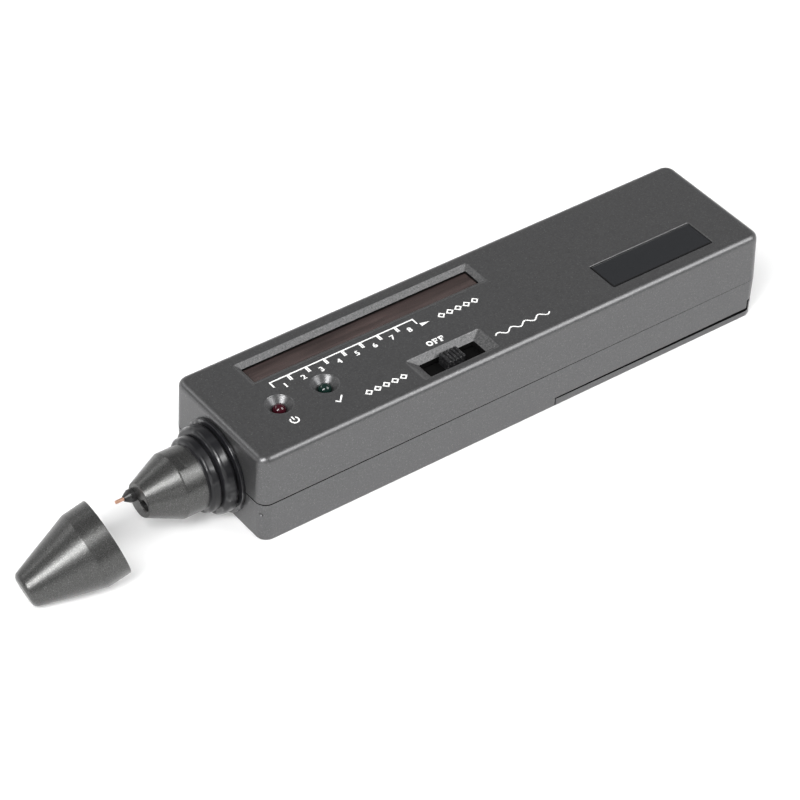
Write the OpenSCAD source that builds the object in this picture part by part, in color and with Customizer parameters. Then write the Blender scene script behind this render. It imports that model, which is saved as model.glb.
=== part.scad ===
// Handheld stone tester: two moulded shells on a ribbed collar and nose, with a sprung copper probe,
// a lit scale window, a three-way slide switch, a 9 V block battery and a loose cap beside the nose.
// X runs along the case with the nose towards -X, Z is up, and the origin is the middle of the base.

/* [Battery bay] */
// Length of the battery block, which sets the length of the case behind the door's front edge
battery_l = 48.5; // [44:0.1:54]
// Width of the battery block, which sets the width of the case
battery_w = 26.5; // [24:0.1:30]
// Thickness of the battery block, which sets the height of the case
battery_h = 17.5; // [16:0.1:20]
// Thickness of the foam pad over the battery
pad_t = 1.8; // [1.2:0.1:3]
// Thickness of the battery snap
snap_t = 3.6; // [3:0.1:5]
// Room behind the battery for the door's end wall
rear_room = 5.2; // [5:0.1:8]
// Gap from the battery's side to the rails of the door
battery_side_gap = 0.55; // [0.3:0.05:1]
// Thickness of the door's rails
rail_t = 0.8; // [0.7:0.05:1.2]
// Width of the ledges that the door's hooks run over
ledge_w = 1.14; // [1:0.02:1.6]

/* [Case] */
// Length of the case in front of the battery door
front_l = 85.2; // [80:0.2:100]
// Height of the parting line between the two shells
part_z = 11.5; // [10.5:0.1:12.4]
// Height of the fine seam that shows at the parting line
seam_h = 0.18; // [0.1:0.02:0.3]
// Depth of that seam
seam_depth = 0.3; // [0.1:0.05:0.5]
// Wall of both shells
wall = 1.9; // [1.6:0.1:2.2]
// How far the top and the bottom are drawn in for the mould
draft = 0.26; // [0:0.02:0.4]
// Radius of the four upright corners
corner_r = 2.9; // [2.5:0.1:4]
// Radius round the edge of the top face
top_r = 1.55; // [0.8:0.05:1.8]
// Radius round the edge of the bottom face
base_r = 1.3; // [0.8:0.05:1.8]
// Height of the tongue that keys the shells together
tongue_h = 1.2; // [0.8:0.1:1.6]
// Thickness of that tongue
tongue_t = 0.8; // [0.6:0.05:1]

/* [Window] */
// Distance of the window recess from the front of the case
window_front = 13.7; // [13:0.1:16]
// Distance of the window recess from the front edge of the battery door
window_rear = 3.7; // [3:0.1:8]
// Width of the window recess at the top face
window_w = 8.4; // [7.6:0.1:9.2]
// Distance of the window's middle from the far side of the case
window_edge = 8.4; // [8.2:0.1:9.4]
// Width of the bevel round the window
window_bevel = 1.45; // [1:0.05:1.7]
// Depth of the lens below the top face
window_depth = 1.2; // [0.8:0.05:1.4]
// Thickness of the lens flange under the top wall
lens_flange_t = 1.2; // [0.8:0.1:1.4]
// How far the lens flange reaches past its opening
lens_lip = 1.2; // [0.8:0.1:1.6]

/* [Scale lamps] */
// Pitch of the lamps, as many as fit behind the window
lamp_pitch = 5.08; // [4:0.02:7.62]
// Width of one lamp across its row
lamp_w = 5; // [4:0.1:5.2]
// Thickness of one lamp along its row
lamp_t = 2; // [1.6:0.1:2.4]
// Gap from the top of a lamp up to the lens
lamp_gap = 0.7; // [0.4:0.1:1.5]
// Wall of the light baffle round the lamps
baffle_wall = 1; // [0.8:0.1:1.2]

/* [Round lamps] */
// Distance of the front round lamp from the front of the case
power_lamp_front = 14.9; // [14.2:0.1:16]
// Distance between the two round lamps
round_lamp_gap = 12.7; // [11:0.1:13.4]
// Middle of both round lamps across Y
round_lamp_y = -3.4; // [-4:0.1:-2.4]
// Diameter of a round lamp
round_lamp_d = 5; // [4.8:0.1:5.2]
// Height of a round lamp from its flange to the top of its dome
round_lamp_h = 8.6; // [8:0.1:9]
// Depth of the dome's top below the top face
round_lamp_dip = 0.8; // [0.6:0.05:1]
// Diameter of the conical recess at the top face
recess_d = 7.1; // [6.4:0.1:7.4]
// Depth of the conical recess
recess_depth = 1.2; // [0.9:0.05:1.3]
// Height of the spacer under each round lamp
spacer_h = 1.1; // [0.8:0.1:1.6]

/* [Switch] */
// Distance of the switch slot's middle from the front of the case
switch_front = 58.2; // [54:0.1:62]
// Distance of the switch slot's middle from the near side of the case
switch_edge = 6.8; // [6.7:0.1:8]
// Length of the slot
slot_l = 16; // [15:0.1:17]
// Width of the slot
slot_w = 4.8; // [4.6:0.1:5]
// Width of the bevel round the slot
slot_bevel = 1.55; // [1:0.05:1.6]
// Depth of that bevel
slot_bevel_depth = 1.5; // [1:0.05:1.6]
// Thickness of the wall round the slot below its bevel
slot_edge_t = 1.4; // [1.2:0.1:1.6]
// Length of the knob along X
knob_l = 4.9; // [4.4:0.1:5.4]
// Number of cross ribs on the knob
knob_ribs = 5; // [3:1:6]
// Depth of the grooves between the knob's ribs
knob_groove = 0.45; // [0.3:0.05:0.6]
// Depth of the knob's top below the top face
knob_dip = 0.2; // [0:0.05:0.5]
// Travel of the knob each way from the middle
knob_travel = 4; // [3:0.1:4.4]
// Thickness of the knob's shield, which closes the slot from inside
shield_t = 0.8; // [0.6:0.05:1]
// Height of the switch body above the board
switch_body_h = 5.2; // [4.6:0.1:5.4]

/* [Board] */
// Thickness of the main board
board_t = 1.6; // [1.2:0.1:1.8]
// Gap from the sides of the board to the shells
board_side_gap = 0.44; // [0.2:0.02:0.8]
// Front edge of the board from the front of the case
board_front = 8; // [7.6:0.1:9]
// Rear edge of the board from the front edge of the door
board_rear = 0.8; // [0.6:0.1:1.2]
// Distance of the board's screws from its long edges
board_screw_in = 2.8; // [2.6:0.1:3.2]

/* [Battery door] */
// Thickness of the door's plate
door_t = 1.6; // [1.4:0.1:1.8]
// Thickness of the tongue at the door's front, and of the ribs that the battery lies on
door_tongue_t = 1; // [0.8:0.1:1.4]
// Height of the door's side lips
door_lip_z = 2.45; // [2.3:0.05:2.6]
// Height of the door's rear end wall
door_end_z = 4.95; // [4.7:0.05:5.2]
// Thickness of the door's rear end wall and side lips
door_end_t = 2; // [1.8:0.1:2.2]
// Gap round the door
door_gap = 0.35; // [0.3:0.01:0.4]
// Number of grip grooves under the door
grip_count = 5; // [3:1:7]

/* [Nose] */
// Height of the nose's axis above the base
nose_z = 11.4; // [11.2:0.1:12.4]
// Length of the collar along X
collar_l = 7.5; // [7.4:0.1:8.5]
// Radius of the collar's flange against the case
collar_flange_r = 11.6; // [11.2:0.1:11.6]
// Radius over the collar's rear rib
rib_rear_r = 10.95; // [10.6:0.05:11.1]
// Radius over the collar's front rib
rib_front_r = 9.35; // [9.2:0.05:9.6]
// Length of the nose's straight part
nose_straight_l = 5.4; // [4.6:0.1:6.4]
// Radius of the nose's straight part
nose_r = 8.1; // [7.9:0.05:8.3]
// Length of the nose's cone
nose_cone_l = 8.4; // [8:0.1:10]
// Radius of the nose's front face
nose_tip_r = 4.3; // [4.25:0.05:5]
// Radius of the spigot that passes through the collar and the case wall
spigot_r = 6; // [5.8:0.1:6.4]
// Depth of the small flat on top of the nose
nose_flat_depth = 0.55; // [0.3:0.05:0.7]

/* [Probe] */
// Offset of the probe from the nose's axis
probe_y = 2.4; // [2.3:0.05:2.6]
// Radius of the copper pin
pin_r = 0.43; // [0.35:0.01:0.5]
// How far the pin stands out of its sleeve
pin_out = 2.2; // [1.8:0.1:2.6]
// Length of the sleeve's cone in front of the nose
sleeve_l = 2.55; // [2:0.05:3]
// Radius of the sleeve's cone where it meets the nose
sleeve_r = 1.9; // [1.7:0.05:1.9]
// Outer radius of the probe's guide barrel
barrel_r = 1.6; // [1.5:0.05:1.65]
// How far the pin can be pressed in
probe_travel = 1.2; // [0.8:0.1:1.6]
// Radius of the spring's wire
spring_wire_r = 0.15; // [0.1:0.01:0.18]
// Number of turns in the spring
spring_turns = 7; // [5:1:8]
// Length of the spring at rest
spring_l = 8.4; // [8:0.1:10]

/* [Nose lamp] */
// Offset of the nose lamp from the nose's axis, on the other side from the probe
nose_lamp_y = -2.4; // [-2.5:0.05:-2.3]
// Diameter of the nose lamp
nose_lamp_d = 3; // [2.8:0.05:3.1]
// Depth of the nose lamp's dome behind the front face
nose_lamp_dip = 1.4; // [1.2:0.1:2]

/* [Cap] */
// Length of the cap
cap_l = 22.2; // [22.1:0.1:26]
// Outer radius of the cap at its mouth
cap_r = 9.6; // [9.4:0.05:10]
// Length of the cap's straight band
cap_band_l = 5.9; // [5:0.1:6.5]
// Outer radius of the cap's tip
cap_tip_r = 4.65; // [4.5:0.05:5]
// Radius round the edge of the cap's tip
cap_round_r = 1.6; // [1.2:0.1:1.8]
// Clearance between the cap and the nose's straight part
cap_fit = 0.15; // [0.1:0.01:0.2]
// Thickness of the cap's end wall
cap_end_t = 2.1; // [1.6:0.1:2.2]
// Distance from the probe's point forward to the middle of the lying cap's mouth
cap_ahead = 7.15; // [6:0.05:20]
// Distance of the lying cap's mouth from the nose's axis, towards the near side
cap_aside = 5.6; // [-6:0.1:12]
// Angle of the lying cap about the upright, away from the case's length
cap_turn = -4.7; // [-15:0.1:15]

/* [Plate] */
// Length of the bare plate on the rear of the top
plate_l = 30.5; // [26:0.1:34]
// Width of the bare plate
plate_w = 8.9; // [8:0.1:10]
// Distance of the plate's middle from the rear of the case
plate_rear = 27.75; // [24:0.05:34]
// Distance of the plate's middle from the near side of the case
plate_edge = 9.3; // [8:0.1:11]
// Thickness of the plate
plate_t = 0.6; // [0.4:0.05:0.8]

/* [Screws and wires] */
// Radius of the case screws
case_screw_r = 1.2; // [1:0.05:1.3]
// Length of the case screws under the head
case_screw_l = 11.6; // [10:0.1:13]
// Radius of the board screws
board_screw_r = 1; // [0.8:0.05:1.1]
// Length of the board screws under the head
board_screw_l = 6; // [4:0.1:8]
// Radius of the battery's leads
battery_wire_r = 0.6; // [0.5:0.05:0.7]
// Radius of the thin leads
thin_wire_r = 0.45; // [0.35:0.05:0.5]

/* [Hidden] */
$fn = 48;
// General clearances: a close fit, a sliding gap and a solid's smallest overlap with its own root
fit = 0.1;
slide_gap = 0.3;
weld = 0.1;
sliver = 0.01;

// Case: its length, width and height are built up round the battery block
bay_screw_in = 2.4;
case_post_r = 2.5;
post_gap = 0.6;
door_tongue_w = 16;
door_tongue_z = wall + slide_gap;
battery_z0 = door_tongue_z + door_tongue_t + slide_gap;
snap_room = bay_screw_in + case_post_r + post_gap + snap_t;
case_l = front_l + snap_room + battery_l + rear_room;
inner_w = battery_w + 2 * (battery_side_gap + rail_t + slide_gap + ledge_w);
case_w = inner_w + 2 * (wall + draft);
case_h = battery_z0 + battery_h + fit + pad_t + wall;
front_x = -case_l / 2;
rear_x = case_l / 2;
door_x = front_x + front_l;
inner_l = case_l - 2 * (wall + draft);
inner_r = max(corner_r - wall, 0.6);
inner_top = case_h - wall;
arc_steps = 5;
case_rings = concat(
    [for (i = [0:arc_steps]) let (a = 90 * i / arc_steps)
        [base_r * (1 - cos(a)), draft + base_r * (1 - sin(a))]],
    [[part_z, 0]],
    [for (i = [arc_steps:-1:0]) let (a = 90 * i / arc_steps)
        [case_h - sliver - top_r * (1 - cos(a)), draft + top_r * (1 - sin(a))]]);

// Small moulding mark low on the near front corner
mark_z = 8.2;
mark_turn = 33;
mark_r = 0.7;
mark_depth = 0.2;

// Board and what stands on it
board_top = case_h - round_lamp_dip - round_lamp_h - spacer_h;
board_z = board_top - board_t;
board_x0 = front_x + board_front;
board_x1 = door_x - board_rear;
board_w = inner_w - 2 * board_side_gap;
board_screw_x = [board_x0 + 6, board_x1 - 3.2];
board_screw_y = board_w / 2 - board_screw_in;
board_post_r = 2.4;
board_head_r = 2;
board_head_t = 1.2;
window_l = front_l - window_front - window_rear;
window_x = front_x + window_front + window_l / 2;
window_y = case_w / 2 - window_edge;
lens_l = window_l - 2 * window_bevel;
lens_w = window_w - 2 * window_bevel;
lens_z = inner_top - lens_flange_t;
lamp_room = 2 * (min(board_screw_x[1] - window_x, window_x - board_screw_x[0]) - board_head_r - fit);
lamp_count = floor(min(lens_l, lamp_room) / lamp_pitch);
lamp_h = lens_z - lamp_gap - board_top;
baffle_h = lens_z - fit - board_top;
baffle_l = lamp_count * lamp_pitch;
baffle_w = lamp_w + 2 * (fit + baffle_wall);
round_lamp_x = [front_x + power_lamp_front, front_x + power_lamp_front + round_lamp_gap];
round_lamp_r = round_lamp_d / 2;
dome_rise = inner_top - (case_h - round_lamp_dip - round_lamp_r);
dome_hole_r = sqrt(pow(round_lamp_r, 2) - pow(dome_rise, 2)) + 0.13;
round_flange_r = round_lamp_r + 0.4;
round_flange_t = 1;

// Small parts of the circuit, placed from the board's edges
chip_pitch = 2.54;
chip_w = 6.4;
chip_h = 3.4;
chip_in = 10.2;
chip_gap = 3.3;
small_chip_rear = 18.4;
small_chip_y = 6;
resistor_r = 1.1;
resistor_l = 6.2;
resistor_pitch = 3;
trimmer_x = board_x0 + 16;
trimmer_in = 5.2;
trimmer_pitch = 7.8;
trimmer_side = 6.4;
trimmer_h = 4.4;
capacitor_in = 4.6;
capacitor_pitch = 7;
capacitor_rear = 8.9;
regulator_rear = 12.4;
buzzer_r = 5;
buzzer_in = 7.6;
buzzer_back = 4;
main_chip_x = board_x1 - small_chip_rear - 6 * chip_pitch - chip_gap;

// Switch
switch_x = front_x + switch_front;
switch_y = switch_edge - case_w / 2;
slot_top_z = case_h - slot_bevel_depth;
slot_pad_z = slot_top_z - slot_edge_t;
knob_w = slot_w - 2 * slide_gap;
knob_top = case_h - knob_dip;
shield_top = slot_pad_z - slide_gap;
shield_l = slot_l + 2 * knob_travel + 1;
shield_w = slot_w + 2.2;
stem_l = 2.6;
stem_w = 2;
stem_depth = 2.4;
switch_body_l = 23;
switch_body_w = 7.4;
switch_top = board_top + switch_body_h;

// Battery bay: the battery lies on the door's ribs, which are level with its front tongue
battery_x0 = door_x + snap_room;
battery_zc = battery_z0 + battery_h / 2;
terminal_y = 6.35;
terminal_h = 2.4;
terminal_r = [2.9, 3.9];
snap_w = 24.4;
snap_h = 12.4;
snap_r = 3;
lead_drop = 4;
bay_floor_z = 3.6;
bay_floor_t = 1.8;
bay_floor_x1 = battery_x0 - snap_t - 0.5;
door_step_x = rear_x - door_end_t - 0.35;
ledge_z = door_lip_z + door_gap;
ledge_t = 0.8;
rail_x0 = battery_x0;
rail_x1 = rear_x - 8;
hook_t = 0.9;
hook_z = ledge_z + ledge_t + slide_gap;
web_y1 = inner_w / 2 - ledge_w - slide_gap;
fin_t = 1.2;
fin_count = 4;
fin_x0 = rail_x0 + 5;
fin_pitch = (rail_x1 - 2 - fin_t - fin_x0) / (fin_count - 1);
fin_x = [for (i = [0:fin_count - 1]) fin_x0 + fin_pitch * i];
fin_z0 = hook_z + hook_t + slide_gap;
grip_pitch = 2;
grip_w = 1;
grip_depth = 0.4;
grip_l = 14;
door_rib_y = 7;
door_rib_t = 1.2;

// Case screws: a front pair under the case and a rear pair under the door
case_head_r = 2.2;
case_head_t = 1.6;
case_boss_r = case_head_r + slide_gap + 1.1;
case_seat_t = 1.6;
post_wall_gap = 0.3;
case_screw_x = [front_x + wall + draft + post_wall_gap + case_post_r, door_x + bay_screw_in];
case_screw_y = inner_w / 2 - post_wall_gap - case_post_r;
case_seat_z = [2.9, bay_floor_z + 0.8];

// Nose
spigot_x0 = front_x - collar_l;
shoulder_x = spigot_x0 - nose_straight_l;
face_x = shoulder_x - nose_cone_l;
wall_in_x = front_x + wall + draft;
keeper_r = spigot_r + 1.4;
keeper_t = 1.5;
nose_rear_x = wall_in_x + fit + keeper_t;
collar_floor_gap = 0.3;
flange_t = 0.9;
rib_rear_x = 2.95;
rib_rear_bulge = 1.65;
rib_front_x = collar_l - 1.6;
rib_front_bulge = 1.35;
groove_r = rib_front_r - 0.45;
nose_flat_turn = 12;
nose_flat_l = 1.9;

// Probe, from the sleeve's shank back to the plug
bore_gap = 0.05;
pin_gap = 0.07;
barrel_in_r = barrel_r - 0.35;
plunger_r = barrel_in_r - 0.08;
plunger_t = 1.5;
shank_l = 2.4;
barrel_x0 = face_x + shank_l + bore_gap;
plunger_x0 = barrel_x0 + slide_gap;
spring_x0 = plunger_x0 + plunger_t;
spring_coil_r = plunger_r - spring_wire_r - 0.1;
plug_x0 = spring_x0 + spring_l;
barrel_x1 = nose_rear_x + 1.6;
plug_x1 = barrel_x1 + 0.8;
pin_x0 = face_x - sleeve_l - pin_out;

// Nose lamp
nose_lamp_r = nose_lamp_d / 2;
nose_lamp_x0 = face_x + nose_lamp_dip;
nose_lamp_l = 4.4;
nose_lamp_flange_r = nose_lamp_r + 0.35;
nose_lamp_back = nose_lamp_x0 + nose_lamp_l + 1;

// Distance behind the board's front edge at which the leads from the nose meet it
probe_lead_in = 4;
lamp_lead_in = 3;

// Cap: its cone lies on the ground, so the tilt is the cone's own angle
cap_in_r = nose_r + cap_fit;
cap_round_c = [cap_l - cap_round_r, cap_tip_r - cap_round_r];
cap_band_end = [cap_band_l, cap_r - 0.05];
cap_run = cap_round_c - cap_band_end;
cap_tilt = -atan2(cap_run[1], cap_run[0]) - asin(cap_round_r / norm(cap_run));
cap_wall = cap_band_end[1] - cap_in_r;
cap_z = cap_band_end[0] * sin(cap_tilt) + cap_band_end[1] * cos(cap_tilt);

// Colours
case_grey = [0.27, 0.27, 0.28];
nose_grey = [0.30, 0.30, 0.30];
gloss_black = [0.05, 0.05, 0.055];
soft_black = [0.09, 0.09, 0.09];
steel = [0.70, 0.70, 0.72];
brass = [0.78, 0.62, 0.30];
copper = [0.80, 0.47, 0.32];
board_green = [0.07, 0.30, 0.15];

// Flat rectangle with round corners, centred
module rounded_rect(l, w, r) {
    square([l - 2 * r, w], center = true);
    square([l, w - 2 * r], center = true);
    for (x = [-1, 1], y = [-1, 1])
        translate([x * (l / 2 - r), y * (w / 2 - r)]) circle(r, $fn = 32);
}

// Upright block with round corners
module rounded_block(l, w, h, r) {
    linear_extrude(h) rounded_rect(l, w, r);
}

// Box from its middle in plan and its lowest height
module plan_box(l, w, h) {
    translate([-l / 2, -w / 2, 0]) cube([l, w, h]);
}

// Rectangular opening whose sides slope out to the top
module bevelled_pit(l, w, bevel, depth, r) {
    hull() {
        translate([0, 0, -depth]) rounded_block(l - 2 * bevel, w - 2 * bevel, sliver, r);
        translate([0, 0, weld]) rounded_block(l, w, sliver, r + bevel / 2);
    }
}

// Cylinder along X from its front end
module rod_x(x, y, z, r, l) {
    translate([x, y, z]) rotate([0, 90, 0]) cylinder(r = r, h = l);
}

// Turned piece about the X axis: points are [distance forward from the case, radius]
module turned_x(x, y, z) {
    translate([x, y, z]) rotate([0, -90, 0]) rotate_extrude() children();
}

function unit(v) = v / norm(v);
// Smooth route through hand-placed points
function between(p, i, t) =
    let (n = len(p) - 1, a = p[max(i - 1, 0)], b = p[i], c = p[min(i + 1, n)], d = p[min(i + 2, n)])
    0.5 * ((2 * b) + (c - a) * t + (2 * a - 5 * b + 4 * c - d) * t * t
        + (3 * b - a - 3 * c + d) * t * t * t);
function route(p, steps) = concat(
    [for (i = [0:len(p) - 2], s = [0:steps - 1]) between(p, i, s / steps)], [p[len(p) - 1]]);
// Lead that leaves its first point and meets its last one straight
function lead(start, bend, end) = concat([start], route(bend, 3), [end]);
function heading(p, i) = unit(p[min(i + 1, len(p) - 1)] - p[max(i - 1, 0)]);
// Round tube swept along a route, with side a direction that the route never follows
module tube(path, r, sides, side) {
    rings = len(path);
    points = [for (i = [0:rings - 1]) let (t = heading(path, i), u = unit(cross(t, side)), v = cross(u, t))
        for (k = [0:sides - 1]) path[i] + r * (cos(360 * k / sides) * u + sin(360 * k / sides) * v)];
    walls = [for (i = [0:rings - 2], k = [0:sides - 1]) let (n = (k + 1) % sides)
        each [[i * sides + k, i * sides + n, (i + 1) * sides + k],
            [i * sides + n, (i + 1) * sides + n, (i + 1) * sides + k]]];
    ends = [for (k = [1:sides - 2]) each [[0, k + 1, k],
        [(rings - 1) * sides, (rings - 1) * sides + k, (rings - 1) * sides + k + 1]]];
    polyhedron(points, concat(walls, ends), convexity = 6);
}

// Outer form of the closed case
module case_form() {
    hull() for (k = case_rings) translate([0, 0, k[0]])
        linear_extrude(sliver) rounded_rect(case_l - 2 * k[1], case_w - 2 * k[1], max(corner_r - k[1], 0.5));
}

// Space inside both shells
module cavity() {
    translate([0, 0, wall]) rounded_block(inner_l, inner_w, inner_top - wall, inner_r);
}

// Side profile of the door, grown by a gap, across the whole width
module door_prism(gap) {
    low = -1;
    translate([0, case_w, 0]) rotate([90, 0, 0]) linear_extrude(2 * case_w) polygon([
        [door_x - gap, low], [door_x - gap, door_lip_z + gap],
        [door_step_x - gap, door_lip_z + gap], [door_step_x - gap, door_end_z + gap],
        [rear_x + 1, door_end_z + gap], [rear_x + 1, low]]);
}

module upper_shell() {
    color(case_grey) difference() {
        union() {
            difference() {
                intersection() {
                    case_form();
                    translate([0, 0, part_z]) plan_box(2 * case_l, 2 * case_w, case_h);
                }
                cavity();
                translate([0, 0, part_z - weld])
                    rounded_block(inner_l + 2 * (tongue_t + fit), inner_w + 2 * (tongue_t + fit),
                        tongue_h + fit + weld, inner_r + tongue_t);
            }
            translate([switch_x, switch_y, slot_pad_z])
                plan_box(slot_l + 6, slot_w + 2.6, inner_top + weld - slot_pad_z);
            for (x = case_screw_x, y = [-1, 1]) translate([x, y * case_screw_y, part_z + fit])
                cylinder(r = case_post_r, h = inner_top + weld - part_z - fit);
        }
        translate([window_x, window_y, case_h])
            bevelled_pit(window_l, window_w, window_bevel, window_depth, 0.4);
        translate([window_x, window_y, inner_top - 1])
            rounded_block(lens_l, lens_w, wall + 1 - window_depth + weld, 0.4);
        translate([switch_x, switch_y, case_h])
            bevelled_pit(slot_l + 2 * slot_bevel, slot_w + 2 * slot_bevel, slot_bevel,
                slot_bevel_depth, 0.4);
        translate([switch_x, switch_y, slot_pad_z - 1])
            rounded_block(slot_l, slot_w, slot_edge_t + 1 + weld, 0.4);
        for (x = round_lamp_x) translate([x, round_lamp_y, 0]) {
            translate([0, 0, case_h - recess_depth])
                cylinder(r1 = dome_hole_r, r2 = recess_d / 2, h = recess_depth + sliver);
            translate([0, 0, inner_top - 1]) cylinder(r = dome_hole_r, h = wall + 1);
        }
        translate([rear_x - plate_rear, plate_edge - case_w / 2, case_h - plate_t])
            rounded_block(plate_l + 2 * fit, plate_w + 2 * fit, plate_t + 1, 0.8);
        for (i = [0, 1], y = [-1, 1]) translate([case_screw_x[i], y * case_screw_y, part_z - 1])
            cylinder(r = case_screw_r + bore_gap, h = case_seat_z[i] + case_screw_l + 1 - part_z + 1);
        rod_x(front_x - 1, 0, nose_z, spigot_r + fit, wall + draft + 2);
    }
}

module lower_shell() {
    color(case_grey) difference() {
        union() {
            difference() {
                intersection() {
                    case_form();
                    translate([0, 0, -1]) plan_box(2 * case_l, 2 * case_w, part_z + 1);
                }
                cavity();
            }
            difference() {
                translate([0, 0, part_z - 1])
                    rounded_block(inner_l + 2 * tongue_t, inner_w + 2 * tongue_t, tongue_h + 1,
                        inner_r + tongue_t - fit);
                cavity();
            }
            for (x = board_screw_x, y = [-1, 1]) translate([x, y * board_screw_y, wall - weld])
                cylinder(r = board_post_r, h = board_z - wall + weld);
            for (y = [-1, 1]) translate([case_screw_x[0], y * case_screw_y, wall - weld]) {
                cylinder(r = case_post_r, h = part_z - wall + weld);
                cylinder(r = case_boss_r, h = case_seat_z[0] + case_seat_t - wall + weld);
            }
            for (y = [-1, 1]) translate([case_screw_x[1], y * case_screw_y, bay_floor_z])
                cylinder(r = case_post_r, h = part_z - bay_floor_z);
            translate([(door_x - door_gap + bay_floor_x1) / 2, 0, bay_floor_z])
                plan_box(bay_floor_x1 - door_x + door_gap, inner_w + 2 * weld, bay_floor_t);
            for (y = [-1, 1]) {
                translate([rail_x0, y > 0 ? inner_w / 2 - ledge_w : -inner_w / 2 - weld, ledge_z])
                    cube([rail_x1 - rail_x0, ledge_w + weld, ledge_t]);
                for (x = fin_x)
                    translate([x, y > 0 ? battery_w / 2 + slide_gap : -inner_w / 2 - weld, fin_z0])
                        cube([fin_t, inner_w / 2 + weld - battery_w / 2 - slide_gap, part_z - fin_z0]);
            }
        }
        door_prism(door_gap);
        translate([0, 0, part_z - seam_h]) difference() {
            plan_box(case_l + 1, case_w + 1, 1);
            translate([0, 0, -1]) rounded_block(case_l - 2 * seam_depth, case_w - 2 * seam_depth, 3,
                corner_r - seam_depth);
        }
        translate([front_x + corner_r, corner_r - case_w / 2, mark_z]) rotate(mark_turn)
            translate([-corner_r + draft - mark_r + mark_depth, 0, 0]) sphere(mark_r);
        for (x = board_screw_x, y = [-1, 1])
            translate([x, y * board_screw_y, board_z - board_screw_l + board_t - 1])
                cylinder(r = board_screw_r + bore_gap, h = board_screw_l + 2);
        for (i = [0, 1], y = [-1, 1]) translate([case_screw_x[i], y * case_screw_y, 0]) {
            translate([0, 0, -1]) cylinder(r = case_head_r + slide_gap, h = case_seat_z[i] + 1);
            translate([0, 0, -1]) cylinder(r = case_screw_r + slide_gap, h = part_z + 2);
        }
        rod_x(front_x - 1, 0, nose_z, spigot_r + fit, wall + draft + 2);
    }
}

module battery_door() {
    in_w = case_w - 2 * door_end_t;
    hook_y1 = inner_w / 2 - 1.5 * slide_gap;
    color(case_grey) difference() {
        union() {
            difference() {
                intersection() {
                    case_form();
                    door_prism(0);
                }
                translate([door_x - 1, -in_w / 2, door_t])
                    cube([rear_x - door_end_t - door_x + 1, in_w, door_end_z]);
            }
            for (y = [-1, 1]) {
                translate([rail_x0, y > 0 ? web_y1 - rail_t : -web_y1, door_t - weld])
                    cube([rail_x1 - rail_x0, rail_t, hook_z + hook_t - door_t + weld]);
                translate([rail_x0, y > 0 ? web_y1 - rail_t : -hook_y1, hook_z])
                    cube([rail_x1 - rail_x0, hook_y1 - web_y1 + rail_t, hook_t]);
            }
            for (y = [-1, 1])
                translate([rail_x0, y * door_rib_y - door_rib_t / 2, door_t - weld])
                    cube([rail_x1 - rail_x0, door_rib_t, door_tongue_z + door_tongue_t - door_t + weld]);
            translate([door_x, -door_tongue_w / 2, door_t - weld])
                cube([1.8, door_tongue_w, door_tongue_z + door_tongue_t - door_t + weld]);
            translate([door_x - 2.5, -door_tongue_w / 2, door_tongue_z])
                cube([4.3, door_tongue_w, door_tongue_t]);
        }
        for (i = [0:grip_count - 1])
            translate([rear_x - 6 - grip_pitch * i, -grip_l / 2, -1]) cube([grip_w, grip_l, 1 + grip_depth]);
    }
}

module window_lens() {
    color([0.20, 0.02, 0.03]) translate([window_x, window_y, 0]) {
        translate([0, 0, lens_z])
            rounded_block(lens_l + 2 * lens_lip, lens_w + 2 * lens_lip, lens_flange_t, 0.6);
        translate([0, 0, lens_z])
            rounded_block(lens_l - 2 * fit, lens_w - 2 * fit, case_h - window_depth - lens_z, 0.3);
    }
}

module lamp_baffle() {
    color(soft_black) translate([window_x, window_y, board_top]) difference() {
        plan_box(baffle_l, baffle_w, baffle_h);
        for (i = [0:lamp_count - 1]) translate([(i - (lamp_count - 1) / 2) * lamp_pitch, 0, -1])
            plan_box(lamp_t + 2 * fit, lamp_w + 2 * fit, baffle_h + 2);
    }
}

module scale_lamps() {
    color([0.75, 0.12, 0.10])
        for (i = [0:lamp_count - 1])
            translate([window_x + (i - (lamp_count - 1) / 2) * lamp_pitch, window_y, board_top])
                plan_box(lamp_t, lamp_w, lamp_h);
}

// Lamp with a flange and a dome, standing up from its foot
module dome_lamp(r, flange_r, flange_t, h) {
    cylinder(r = flange_r, h = flange_t);
    cylinder(r = r, h = h - r);
    translate([0, 0, h - r]) sphere(r);
}

module round_lamp(i, shade) {
    color(shade) translate([round_lamp_x[i], round_lamp_y, board_top + spacer_h])
        dome_lamp(round_lamp_r, round_flange_r, round_flange_t, round_lamp_h);
}

module lamp_spacers() {
    color(soft_black) for (x = round_lamp_x) translate([x, round_lamp_y, board_top]) difference() {
        cylinder(r = round_flange_r, h = spacer_h);
        for (s = [-1, 1]) translate([s * 1.27, 0, -1]) cylinder(r = 0.4, h = spacer_h + 2);
    }
}

module mode_switch() {
    travel_l = stem_l + 2 * (knob_travel + slide_gap);
    color(steel) translate([switch_x, switch_y, board_top]) difference() {
        plan_box(switch_body_l, switch_body_w, switch_body_h);
        translate([0, 0, switch_body_h - stem_depth - slide_gap])
            plan_box(travel_l, stem_w + 2 * slide_gap, stem_depth + slide_gap + 1);
    }
}

module switch_knob() {
    groove_pitch = knob_l / knob_ribs;
    color(soft_black) translate([switch_x, switch_y, 0]) {
        difference() {
            translate([0, 0, shield_top - weld])
                rounded_block(knob_l, knob_w, knob_top - shield_top + weld, 0.4);
            for (i = [1:knob_ribs - 1])
                translate([(i - knob_ribs / 2) * groove_pitch, 0, knob_top - knob_groove])
                    plan_box(groove_pitch / 2, knob_w + 1, knob_groove + 1);
        }
        translate([0, 0, shield_top - shield_t]) plan_box(shield_l, shield_w, shield_t);
        translate([0, 0, switch_top - stem_depth])
            plan_box(stem_l, stem_w, shield_top - switch_top + stem_depth - weld);
    }
}

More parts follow.
